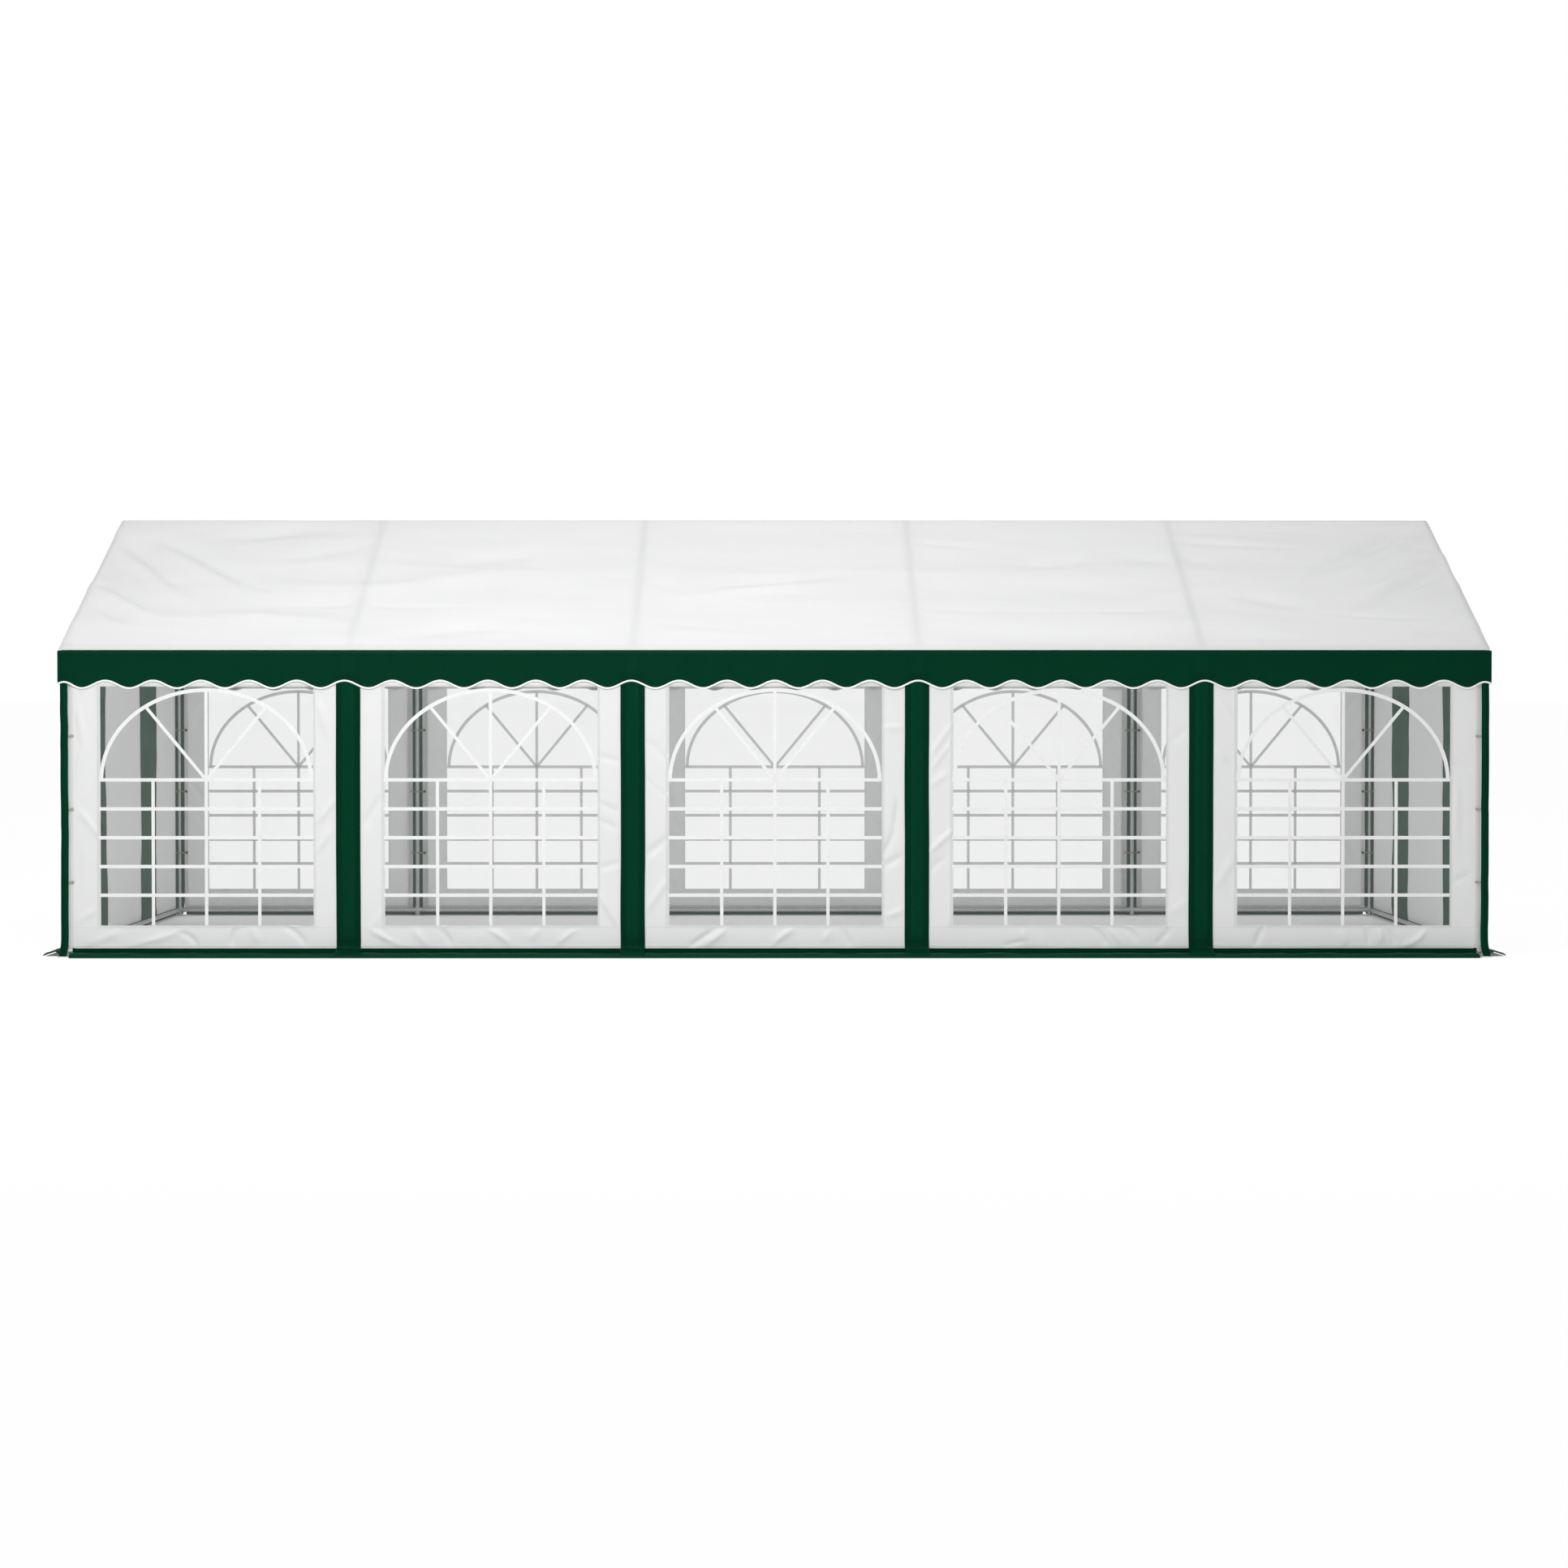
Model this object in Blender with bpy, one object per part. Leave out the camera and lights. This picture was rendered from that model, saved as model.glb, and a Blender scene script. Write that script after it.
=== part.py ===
"""A marquee tent of five bays: a frame of steel tubes under a white roof and white window walls.

Metres, +Z up. The origin is on the ground in the middle of the tent. +X runs along the ridge, and
the long side that the photograph shows faces -Y. Cloth is drawn thicker than it is, as flat sheets
in layers that hang one outside the other from the posts outwards.
"""

import math

import bmesh
import bpy
from mathutils import Matrix, Vector

# The tent's grid
BAYS = 5
BAY = 2.0
HALF_LENGTH = BAYS * BAY / 2
HALF_WIDTH = 2.5
EAVE_TOP = 2.16
RIDGE_TOP = 3.197
GAP = 0.0003

# Tubes, and the sleeves that join them
TUBE_RADIUS = 0.016
SLEEVE_RADIUS = 0.020
TUBE_SIDES = 12
SMOOTH_UP_TO = math.radians(40)
SLEEVE_HALF = 0.05
COUPLER_HALF = 0.08
EAVE_SOCKET = 0.11
RAFTER_SOCKET = 0.12
GROUND_BAR_AXIS = 0.0465
FOOT_SOCKET_TOP = 0.078
FOOT_SIZE = 0.10
FOOT_THICKNESS = 0.005
BAR_END = SLEEVE_RADIUS - 2 * GAP

# Layers, as distances outwards from the lines through the post axes
CLOTH = 0.004
FILM = 0.002
WALL_IN = SLEEVE_RADIUS + GAP
WALL_OUT = WALL_IN + CLOTH
FILM_IN = WALL_OUT + GAP
FILM_OUT = FILM_IN + FILM
STRIP_IN = FILM_OUT + GAP
STRIP_OUT = STRIP_IN + CLOTH
VALANCE_IN = STRIP_OUT + GAP
VALANCE_OUT = VALANCE_IN + CLOTH
GABLE_STRIP_IN = WALL_OUT + GAP
GABLE_STRIP_OUT = GABLE_STRIP_IN + CLOTH
GABLE_VALANCE_OUT = 0.042
GABLE_VALANCE_IN = GABLE_VALANCE_OUT - CLOTH

# Wall panels and their windows
PANEL_SHORT_OF_POST = 0.041
PANEL_BOTTOM = 0.062
PANEL_TOP = 2.13
WINDOW_WIDTH = 1.505
WINDOW_BOTTOM = 0.223
WINDOW_TOP = 1.903
FILM_MARGIN = 0.023
FILM_SHORT_OF_POST = 0.045
CUTTER_REACH = 0.05

# Green strips over the posts, and the skirt that lies on the ground
STRIP_HALF = 0.083
STRIP_TOP = 2.0
STRIP_BEND = 0.056
STRIP_FOOT_OUT = 1.5 * CLOTH
CORNER_STRIP_FRONT = 0.031
CORNER_STRIP_SIDE = 0.081
CORNER_STRIP_BOTTOM = 0.012
SKIRT_SHORT_OF_POST = 0.054
SKIRT_FLAT_FROM = 0.10
SKIRT_REACH = 0.168
SKIRT_STEPS = 5

# Gable ends
DOOR_HALF = 0.75
DOOR_TOP = 2.0
STRIPE_WIDTH = 0.75
STRIPE_BOTTOM = 0.028

# The scalloped valance, with the white piping on its lower edge
SCALLOPS = 30
SCALLOP_POINTS = 6
CREST_DROP = 0.2205
TROUGH_DROP = 0.274
END_CREST_DROP = 0.230
LAST_TROUGH = 14.5
END_WAVE = 1.454
GABLE_PITCH = 0.325

# Finishes: colour, roughness, metallic
STEEL = ((0.42, 0.43, 0.42), 0.42, 0.85)
WHITE_SHEET = ((0.86, 0.87, 0.86), 0.45, 0.0)
GREEN_SHEET = ((0.012, 0.07, 0.042), 0.40, 0.0)
CLEAR_FILM = ((0.80, 0.83, 0.83), 0.12, 0.0)

SLOPE = (RIDGE_TOP - EAVE_TOP) / (HALF_WIDTH + VALANCE_OUT)
PITCH = math.atan(SLOPE)
POST_X = [-HALF_LENGTH + BAY * i for i in range(BAYS + 1)]
SIDES = {"front": -1, "back": 1}
ENDS = {"left": -1, "right": 1}


def roof_top(y):
    """Height of the roof's outer face at a distance y from the ridge."""
    return RIDGE_TOP - SLOPE * abs(y)


def roof_underside(y):
    return roof_top(y) - CLOTH / math.cos(PITCH)


def rafter_axis(y):
    """Height of the rafters' axis: their sleeves just touch the roof from below."""
    return roof_top(y) - (CLOTH + GAP + SLEEVE_RADIUS) / math.cos(PITCH)


def finish(obj, look):
    colour, roughness, metallic = look
    material = bpy.data.materials.new(obj.name)
    material.use_nodes = True
    shader = material.node_tree.nodes["Principled BSDF"]
    shader.inputs["Base Color"].default_value = (*colour, 1.0)
    shader.inputs["Roughness"].default_value = roughness
    shader.inputs["Metallic"].default_value = metallic
    obj.data.materials.append(material)


def to_object(name, bm):
    """Turn a bmesh into an object with its faces pointing out."""
    bmesh.ops.recalc_face_normals(bm, faces=bm.faces)
    mesh = bpy.data.meshes.new(name)
    bm.to_mesh(mesh)
    bm.free()
    obj = bpy.data.objects.new(name, mesh)
    bpy.context.scene.collection.objects.link(obj)
    return obj


def prism(name, outline, low, high, along):
    """Extrude a flat outline from low to high along one axis, "x", "y" or "z".

    The outline's two numbers are the other two coordinates, in the order x, y, z.
    """
    place = {
        "x": lambda a, b, depth: (depth, a, b),
        "y": lambda a, b, depth: (a, depth, b),
        "z": lambda a, b, depth: (a, b, depth),
    }[along]
    bm = bmesh.new()
    face = bm.faces.new([bm.verts.new(place(a, b, low)) for a, b in outline])
    top = bmesh.ops.extrude_face_region(bm, geom=[face])["geom"]
    bm.faces.ensure_lookup_table()
    move = Vector(place(0, 0, high - low))
    bmesh.ops.translate(bm, vec=move, verts=[v for v in top if isinstance(v, bmesh.types.BMVert)])
    return to_object(name, bm)


def box(name, low, high):
    corners = [(low[0], low[1]), (high[0], low[1]), (high[0], high[1]), (low[0], high[1])]
    return prism(name, corners, low[2], high[2], "z")


def tube(name, start, end, radius=TUBE_RADIUS):
    """A round bar between two points, with flat ends."""
    start, end = Vector(start), Vector(end)
    run = end - start
    turn = run.to_track_quat("Z", "Y").to_matrix().to_4x4()
    bm = bmesh.new()
    bmesh.ops.create_cone(
        bm,
        cap_ends=True,
        segments=TUBE_SIDES,
        radius1=radius,
        radius2=radius,
        depth=run.length,
        matrix=Matrix.Translation((start + end) / 2) @ turn,
    )
    obj = to_object(name, bm)
    obj.data.shade_smooth()
    obj.data.set_sharp_from_angle(angle=SMOOTH_UP_TO)
    return obj


def combine(target, others, operation):
    """Join others to the target, or cut them out of it."""
    for other in others:
        other.hide_render = True
        other.display_type = "WIRE"
        modifier = target.modifiers.new(other.name, "BOOLEAN")
        modifier.operation = operation
        modifier.object = other
        modifier.solver = "EXACT"
    return target


def sleeve_span(x):
    """A sleeve along a bar reaches both ways from its post, and only inwards at a corner."""
    low, high = x - SLEEVE_HALF, x + SLEEVE_HALF
    return max(low, -HALF_LENGTH - BAR_END), min(high, HALF_LENGTH + BAR_END)


# Frame


def ground_bar_long(side, sign):
    """The bar along one long side, with a foot plate and a socket for each of its posts."""
    y = sign * HALF_WIDTH
    z = GROUND_BAR_AXIS
    end = HALF_LENGTH + BAR_END
    name = f"ground_bar_{side}"
    bar = tube(name, (-end, y, z), (end, y, z))
    extras = []
    for number, x in enumerate(POST_X, 1):
        low, high = sleeve_span(x)
        half = FOOT_SIZE / 2
        extras += [
            tube(f"{name}_sleeve_{number}", (low, y, z), (high, y, z), SLEEVE_RADIUS),
            tube(
                f"{name}_socket_{number}",
                (x, y, FOOT_THICKNESS / 2),
                (x, y, FOOT_SOCKET_TOP),
                SLEEVE_RADIUS,
            ),
            box(
                f"{name}_foot_{number}",
                (x - half, y - half, 0.0),
                (x + half, y + half, FOOT_THICKNESS),
            ),
        ]
    finish(combine(bar, extras, "UNION"), STEEL)


def ground_bar_gable(end, sign):
    reach = HALF_WIDTH - SLEEVE_RADIUS - GAP
    x, z = sign * HALF_LENGTH, GROUND_BAR_AXIS
    finish(tube(f"ground_bar_{end}", (x, -reach, z), (x, reach, z)), STEEL)


def post(side, sign, number, x):
    y = sign * HALF_WIDTH
    top = rafter_axis(HALF_WIDTH) - EAVE_SOCKET - GAP
    start = (x, y, FOOT_SOCKET_TOP + GAP)
    finish(tube(f"post_{side}_{number}", start, (x, y, top)), STEEL)


def eave_bar(side, sign):
    """The bar under the roof's edge, with a socket for each post and each rafter."""
    y = sign * HALF_WIDTH
    z = rafter_axis(HALF_WIDTH)
    end = HALF_LENGTH + BAR_END
    name = f"eave_bar_{side}"
    bar = tube(name, (-end, y, z), (end, y, z))
    inwards = RAFTER_SOCKET * math.cos(PITCH)
    rise = RAFTER_SOCKET * math.sin(PITCH)
    extras = []
    for number, x in enumerate(POST_X, 1):
        low, high = sleeve_span(x)
        mouth = (x, y - sign * inwards, z + rise)
        extras += [
            tube(f"{name}_sleeve_{number}", (low, y, z), (high, y, z), SLEEVE_RADIUS),
            tube(f"{name}_socket_{number}", (x, y, z), (x, y, z - EAVE_SOCKET), SLEEVE_RADIUS),
            tube(f"{name}_rafter_socket_{number}", (x, y, z), mouth, SLEEVE_RADIUS),
        ]
    finish(combine(bar, extras, "UNION"), STEEL)


def rafter_pair(number, x):
    """Two rafters, coupled in the middle of each slope, on a sleeve round the ridge bar."""
    name = f"rafter_pair_{number}"
    ridge = Vector((x, 0, rafter_axis(0)))
    low, high = sleeve_span(x)
    sleeve = tube(name, (low, 0, ridge.z), (high, 0, ridge.z), SLEEVE_RADIUS)
    extras = []
    for side, sign in SIDES.items():
        down = Vector((0, sign * math.cos(PITCH), -math.sin(PITCH)))
        length = HALF_WIDTH / math.cos(PITCH) - RAFTER_SOCKET - GAP
        middle = ridge + down * (HALF_WIDTH / math.cos(PITCH) / 2)
        extras += [
            tube(f"{name}_{side}", ridge, ridge + down * length),
            tube(
                f"{name}_coupler_{side}",
                middle - down * COUPLER_HALF,
                middle + down * COUPLER_HALF,
                SLEEVE_RADIUS,
            ),
        ]
    reach = SLEEVE_HALF + HALF_LENGTH
    bore = tube(
        f"{name}_bore", (-reach, 0, ridge.z), (reach, 0, ridge.z), TUBE_RADIUS + GAP
    )
    combine(sleeve, extras, "UNION")
    finish(combine(sleeve, [bore], "DIFFERENCE"), STEEL)


def ridge_bar():
    end, z = HALF_LENGTH + BAR_END, rafter_axis(0)
    finish(tube("ridge_bar", (-end, 0, z), (end, 0, z)), STEEL)


# Roof


def roof_cover():
    """One sheet from eave to eave, folded over the ridge."""
    edge = HALF_WIDTH + VALANCE_OUT
    outline = [(-edge, roof_top(edge)), (0, RIDGE_TOP), (edge, roof_top(edge))]
    outline += [(y, z - CLOTH / math.cos(PITCH)) for y, z in reversed(outline)]
    reach = HALF_LENGTH + GABLE_VALANCE_OUT
    finish(prism("roof_cover", outline, -reach, reach, "x"), WHITE_SHEET)


def wave(share):
    """The drop below the roof's edge at a share of a scallop away from a crest."""
    middle = (CREST_DROP + TROUGH_DROP) / 2
    return middle - (TROUGH_DROP - CREST_DROP) / 2 * math.cos(2 * math.pi * share)


def long_drop(x):
    """The long valances' lower edge: scallops, and a small crest where it turns each corner."""
    reach = HALF_LENGTH + GABLE_VALANCE_OUT
    pitch = 2 * reach / SCALLOPS
    if abs(x) <= LAST_TROUGH * pitch:
        return wave(x / pitch)
    share = (abs(x) - LAST_TROUGH * pitch) / (reach - LAST_TROUGH * pitch)
    rise = (TROUGH_DROP - END_CREST_DROP) / 2
    return TROUGH_DROP - rise * (1 - math.cos(2 * math.pi * share / END_WAVE))


def valance_long(side, sign):
    reach = HALF_LENGTH + GABLE_VALANCE_OUT
    steps = SCALLOPS * SCALLOP_POINTS
    stations = [-reach + 2 * reach * i / steps for i in range(steps + 1)]
    top = roof_underside(HALF_WIDTH + VALANCE_OUT) - GAP
    outline = [(reach, top), (-reach, top)]
    outline += [(x, EAVE_TOP - long_drop(x)) for x in stations]
    low, high = sorted(sign * (HALF_WIDTH + d) for d in (VALANCE_IN, VALANCE_OUT))
    finish(prism(f"valance_{side}", outline, low, high, "y"), GREEN_SHEET)


def valance_gable(end, sign):
    """The valance along a gable's two rakes."""
    reach = HALF_WIDTH + VALANCE_IN - GAP
    steps = 2 * round(reach / GABLE_PITCH) * SCALLOP_POINTS
    stations = [-reach + 2 * reach * i / steps for i in range(steps + 1)]
    outline = [(reach, roof_underside(reach) - GAP), (0, roof_underside(0) - GAP)]
    outline += [(-reach, roof_underside(reach) - GAP)]
    outline += [(y, roof_top(y) - wave(y / GABLE_PITCH)) for y in stations]
    low, high = sorted(sign * (HALF_LENGTH + d) for d in (GABLE_VALANCE_IN, GABLE_VALANCE_OUT))
    finish(prism(f"valance_{end}", outline, low, high, "x"), GREEN_SHEET)


# Long walls


def wall_panel(side, sign, number):
    """One bay's white sheet, with its window cut out."""
    middle = POST_X[number - 1] + BAY / 2
    half = BAY / 2 - PANEL_SHORT_OF_POST
    low, high = sorted(sign * (HALF_WIDTH + d) for d in (WALL_IN, WALL_OUT))
    name = f"wall_{side}_{number}"
    panel = box(name, (middle - half, low, PANEL_BOTTOM), (middle + half, high, PANEL_TOP))
    window = box(
        f"{name}_window",
        (middle - WINDOW_WIDTH / 2, low - CUTTER_REACH, WINDOW_BOTTOM),
        (middle + WINDOW_WIDTH / 2, high + CUTTER_REACH, WINDOW_TOP),
    )
    finish(combine(panel, [window], "DIFFERENCE"), WHITE_SHEET)


def window_film(side, sign):
    """One clear sheet behind the strips closes a long wall's five windows."""
    reach = HALF_LENGTH - FILM_SHORT_OF_POST
    low, high = sorted(sign * (HALF_WIDTH + d) for d in (FILM_IN, FILM_OUT))
    film = box(
        f"window_film_{side}",
        (-reach, low, WINDOW_BOTTOM - FILM_MARGIN),
        (reach, high, WINDOW_TOP + FILM_MARGIN),
    )
    finish(film, CLEAR_FILM)


def skirt_line(offset):
    """The skirt's section from its top to its free edge, as (distance out, height).

    It hangs down from the wall, curves outwards and lies flat. The offset is taken from the
    middle of the cloth, outwards and up.
    """
    out = (WALL_IN + WALL_OUT) / 2
    flat = CLOTH / 2
    run, fall = SKIRT_FLAT_FROM - out, PANEL_BOTTOM - GAP - flat
    line = []
    for step in range(SKIRT_STEPS + 1):
        turn = math.pi / 2 * step / SKIRT_STEPS
        away = Vector((run * math.sin(turn), -fall * math.cos(turn))).normalized()
        normal = Vector((-away.y, away.x))
        point = Vector((out + run * (1 - math.cos(turn)), flat + fall * (1 - math.sin(turn))))
        line.append(tuple(point + normal * offset))
    line.append((SKIRT_REACH, flat + offset))
    return line


def skirt_outline():
    return skirt_line(CLOTH / 2) + skirt_line(-CLOTH / 2)[::-1]


def strip_outline():
    """A post strip hangs clear of the wall, and its foot lies on the skirt's outer face."""
    outer = [(STRIP_OUT, STRIP_TOP), (STRIP_OUT, STRIP_BEND)] + skirt_line(STRIP_FOOT_OUT)[1:]
    inner = [(STRIP_IN, STRIP_TOP), (STRIP_IN, STRIP_BEND)] + skirt_line(0)[1:]
    return outer + inner[::-1]


def from_wall(outline, sign, line):
    """Turn distances outwards from the line of the posts into coordinates."""
    return [(sign * (line + out), z) for out, z in outline]


def trim_long(side, sign):
    """The green skirt of a long wall, with the strips over its four inner posts."""
    reach = HALF_LENGTH - SKIRT_SHORT_OF_POST
    name = f"trim_{side}"
    skirt = prism(name, from_wall(skirt_outline(), sign, HALF_WIDTH), -reach, reach, "x")
    strips = [
        prism(
            f"{name}_strip_{number}",
            from_wall(strip_outline(), sign, HALF_WIDTH),
            x - STRIP_HALF,
            x + STRIP_HALF,
            "x",
        )
        for number, x in enumerate(POST_X[1:-1], 2)
    ]
    finish(combine(skirt, strips, "UNION"), GREEN_SHEET)


# Gable walls


def gable_wall(end, sign):
    """The white end wall, cut away for its door."""
    reach = HALF_WIDTH - PANEL_SHORT_OF_POST
    outline = [
        (-reach, PANEL_BOTTOM),
        (-DOOR_HALF, PANEL_BOTTOM),
        (-DOOR_HALF, DOOR_TOP),
        (DOOR_HALF, DOOR_TOP),
        (DOOR_HALF, PANEL_BOTTOM),
        (reach, PANEL_BOTTOM),
        (reach, roof_underside(reach) - GAP),
        (0, roof_underside(0) - GAP),
        (-reach, roof_underside(reach) - GAP),
    ]
    low, high = sorted(sign * (HALF_LENGTH + d) for d in (WALL_IN, WALL_OUT))
    finish(prism(f"gable_wall_{end}", outline, low, high, "x"), WHITE_SHEET)


def gable_door(end, sign):
    """The zipped door leaf that closes the gable's doorway."""
    half = DOOR_HALF - GAP
    low, high = sorted(sign * (HALF_LENGTH + d) for d in (WALL_IN, WALL_OUT))
    leaf = box(
        f"gable_door_{end}", (low, -half, PANEL_BOTTOM), (high, half, DOOR_TOP - GAP)
    )
    finish(leaf, WHITE_SHEET)


def corner_strip(name, end_sign, side_sign):
    """An angled strip round a corner post, with one leg on each wall."""
    outer_x, inner_x = HALF_LENGTH + GABLE_STRIP_OUT, HALF_LENGTH + GABLE_STRIP_IN
    outer_y, inner_y = HALF_WIDTH + STRIP_OUT, HALF_WIDTH + STRIP_IN
    front_edge = HALF_LENGTH - CORNER_STRIP_FRONT
    side_edge = HALF_WIDTH - CORNER_STRIP_SIDE
    outline = [
        (outer_x, outer_y),
        (front_edge, outer_y),
        (front_edge, inner_y),
        (inner_x, inner_y),
        (inner_x, side_edge),
        (outer_x, side_edge),
    ]
    placed = [(end_sign * x, side_sign * y) for x, y in outline]
    return prism(name, placed, CORNER_STRIP_BOTTOM, STRIP_TOP, "z")


def trim_gable(end, sign):
    """A gable's green skirt, its two wide stripes and the strips round its corner posts."""
    reach = HALF_WIDTH - SKIRT_SHORT_OF_POST
    name = f"trim_{end}"
    skirt = prism(name, from_wall(skirt_outline(), sign, HALF_LENGTH), -reach, reach, "y")
    low, high = sorted(sign * (HALF_LENGTH + d) for d in (GABLE_STRIP_IN, GABLE_STRIP_OUT))
    near, far = DOOR_HALF + 2 * GAP, DOOR_HALF + STRIPE_WIDTH
    extras = []
    for side, side_sign in SIDES.items():
        stripe = [
            (side_sign * near, STRIPE_BOTTOM),
            (side_sign * far, STRIPE_BOTTOM),
            (side_sign * far, roof_underside(far) - GAP),
            (side_sign * near, roof_underside(near) - GAP),
        ]
        extras.append(prism(f"{name}_stripe_{side}", stripe, low, high, "x"))
        extras.append(corner_strip(f"{name}_corner_{side}", sign, side_sign))
    finish(combine(skirt, extras, "UNION"), GREEN_SHEET)


def main():
    for old in list(bpy.data.objects):
        bpy.data.objects.remove(old, do_unlink=True)
    ridge_bar()
    roof_cover()
    for number, x in enumerate(POST_X, 1):
        rafter_pair(number, x)
    for side, sign in SIDES.items():
        ground_bar_long(side, sign)
        eave_bar(side, sign)
        for number, x in enumerate(POST_X, 1):
            post(side, sign, number, x)
        for number in range(1, BAYS + 1):
            wall_panel(side, sign, number)
        window_film(side, sign)
        trim_long(side, sign)
        valance_long(side, sign)
    for end, sign in ENDS.items():
        ground_bar_gable(end, sign)
        gable_wall(end, sign)
        gable_door(end, sign)
        trim_gable(end, sign)
        valance_gable(end, sign)


main()
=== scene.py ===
# %% [markdown]
# # A marquee tent
#
# This marquee has five bays. Steel tubes carry a white roof and white walls with large clear windows.
# A scalloped valance, strips over the posts and a skirt on the ground trim it in dark green.
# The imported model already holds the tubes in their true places, so they stay. It holds each cloth
# piece only as a flat plate. This lesson makes those pieces again as thin sheets, with folds, hems,
# seams and fittings, and gives every surface a finish.

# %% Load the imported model
import math
from functools import partial

import bmesh
import bpy
import numpy as np
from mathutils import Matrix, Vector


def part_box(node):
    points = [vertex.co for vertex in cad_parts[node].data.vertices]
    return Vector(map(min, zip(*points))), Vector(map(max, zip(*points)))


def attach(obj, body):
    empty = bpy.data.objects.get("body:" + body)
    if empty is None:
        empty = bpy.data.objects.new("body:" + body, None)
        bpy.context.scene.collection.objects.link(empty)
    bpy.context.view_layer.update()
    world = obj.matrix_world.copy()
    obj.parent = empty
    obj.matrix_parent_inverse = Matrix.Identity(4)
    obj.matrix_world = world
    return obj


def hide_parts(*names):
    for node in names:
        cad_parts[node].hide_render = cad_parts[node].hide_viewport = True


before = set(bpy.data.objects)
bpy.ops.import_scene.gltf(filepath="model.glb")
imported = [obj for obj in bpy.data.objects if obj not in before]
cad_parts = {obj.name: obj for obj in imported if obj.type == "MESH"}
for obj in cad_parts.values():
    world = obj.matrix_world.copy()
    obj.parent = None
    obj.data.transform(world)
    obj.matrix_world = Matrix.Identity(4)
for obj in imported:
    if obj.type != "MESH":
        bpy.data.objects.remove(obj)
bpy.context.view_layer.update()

# %% [markdown]
# ## The tent's own measures
#
# All measures are metres. The posts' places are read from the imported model, so that every sheet hangs
# where its frame stands. Distances called "out" are counted outwards from the line of the posts.

# %% Measures
SIDES = {"front": -1, "back": 1}
ENDS = {"left": -1, "right": 1}
BAYS = range(1, 6)


def middle_of(node):
    """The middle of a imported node's box."""
    low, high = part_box(node)
    return (low + high) / 2


POST_X = [middle_of(f"post_front_{number}").x for number in range(1, 7)]
BAY_X = [(a + b) / 2 for a, b in zip(POST_X, POST_X[1:])]
HALF_LENGTH = POST_X[-1]
HALF_WIDTH = abs(middle_of("post_front_1").y)
ROOF_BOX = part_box("roof_cover")
ROOF_END = ROOF_BOX[1].x
ROOF_EDGE = ROOF_BOX[1].y
RIDGE_TOP = ROOF_BOX[1].z
EAVE_TOP = 2.16
SLOPE = (RIDGE_TOP - EAVE_TOP) / ROOF_EDGE
WALL = 0.0223
STRIP = 0.0296
VALANCE = 0.0335
GABLE_STRIPE = 0.0262
GABLE_VALANCE = 0.0400
PANEL_BOTTOM = 0.060
print("posts at", [round(x, 3) for x in POST_X], "slope", round(math.degrees(math.atan(SLOPE)), 2))

# %% [markdown]
# ## The camera
#
# The picture is taken from 26 m in front of the long side, with a long lens at eye height. A far
# camera keeps the posts evenly spaced and the roof's slope shallow. It tips down a little, because
# the tent sits just below the middle of the picture.

# %% Camera
CAMERA_AT = (0.0, -28.54, 1.814)
LENS = 84.9
TIP_DOWN = 1.312
TURN_RIGHT = 0.142

camera_data = bpy.data.cameras.new("camera")
camera_data.sensor_width = 36.0
camera_data.lens = LENS
camera_data.clip_end = 5000.0
camera = bpy.data.objects.new("camera", camera_data)
camera.location = CAMERA_AT
camera.rotation_euler = (math.radians(90 - TIP_DOWN), 0.0, math.radians(-TURN_RIGHT))
bpy.context.scene.collection.objects.link(camera)
bpy.context.scene.camera = camera
print("camera", CAMERA_AT, "lens", LENS)

# %% [markdown]
# ## A small kit for finishes
#
# A finish is a tree of nodes. Two small classes keep it readable. A Wire stands for one output, and
# Python's own operators on it add Math nodes, so a formula looks like a formula.

# %% Wires
class Wire:
    """One output socket. Each operator on it adds one Math node."""

    def __init__(self, finish, socket):
        self.finish = finish
        self.socket = socket

    def math(self, operation, first, second):
        made = self.finish.node("ShaderNodeMath", {"operation": operation}, {0: first, 1: second})
        return self.finish.out(made)

    def __add__(self, other):
        return self.math("ADD", self, other)

    def __mul__(self, other):
        return self.math("MULTIPLY", self, other)

    def __pow__(self, other):
        return self.math("POWER", self, other)

    def __lt__(self, other):
        return self.math("LESS_THAN", self, other)

    def __abs__(self):
        return self.math("ABSOLUTE", self, 0.0)

    __radd__ = __add__
    __rmul__ = __mul__


# %% [markdown]
# A Finish has one method that makes any node: first its settings, then the values or wires of its
# sockets. The other methods are short names for the nodes that every finish needs.

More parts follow.
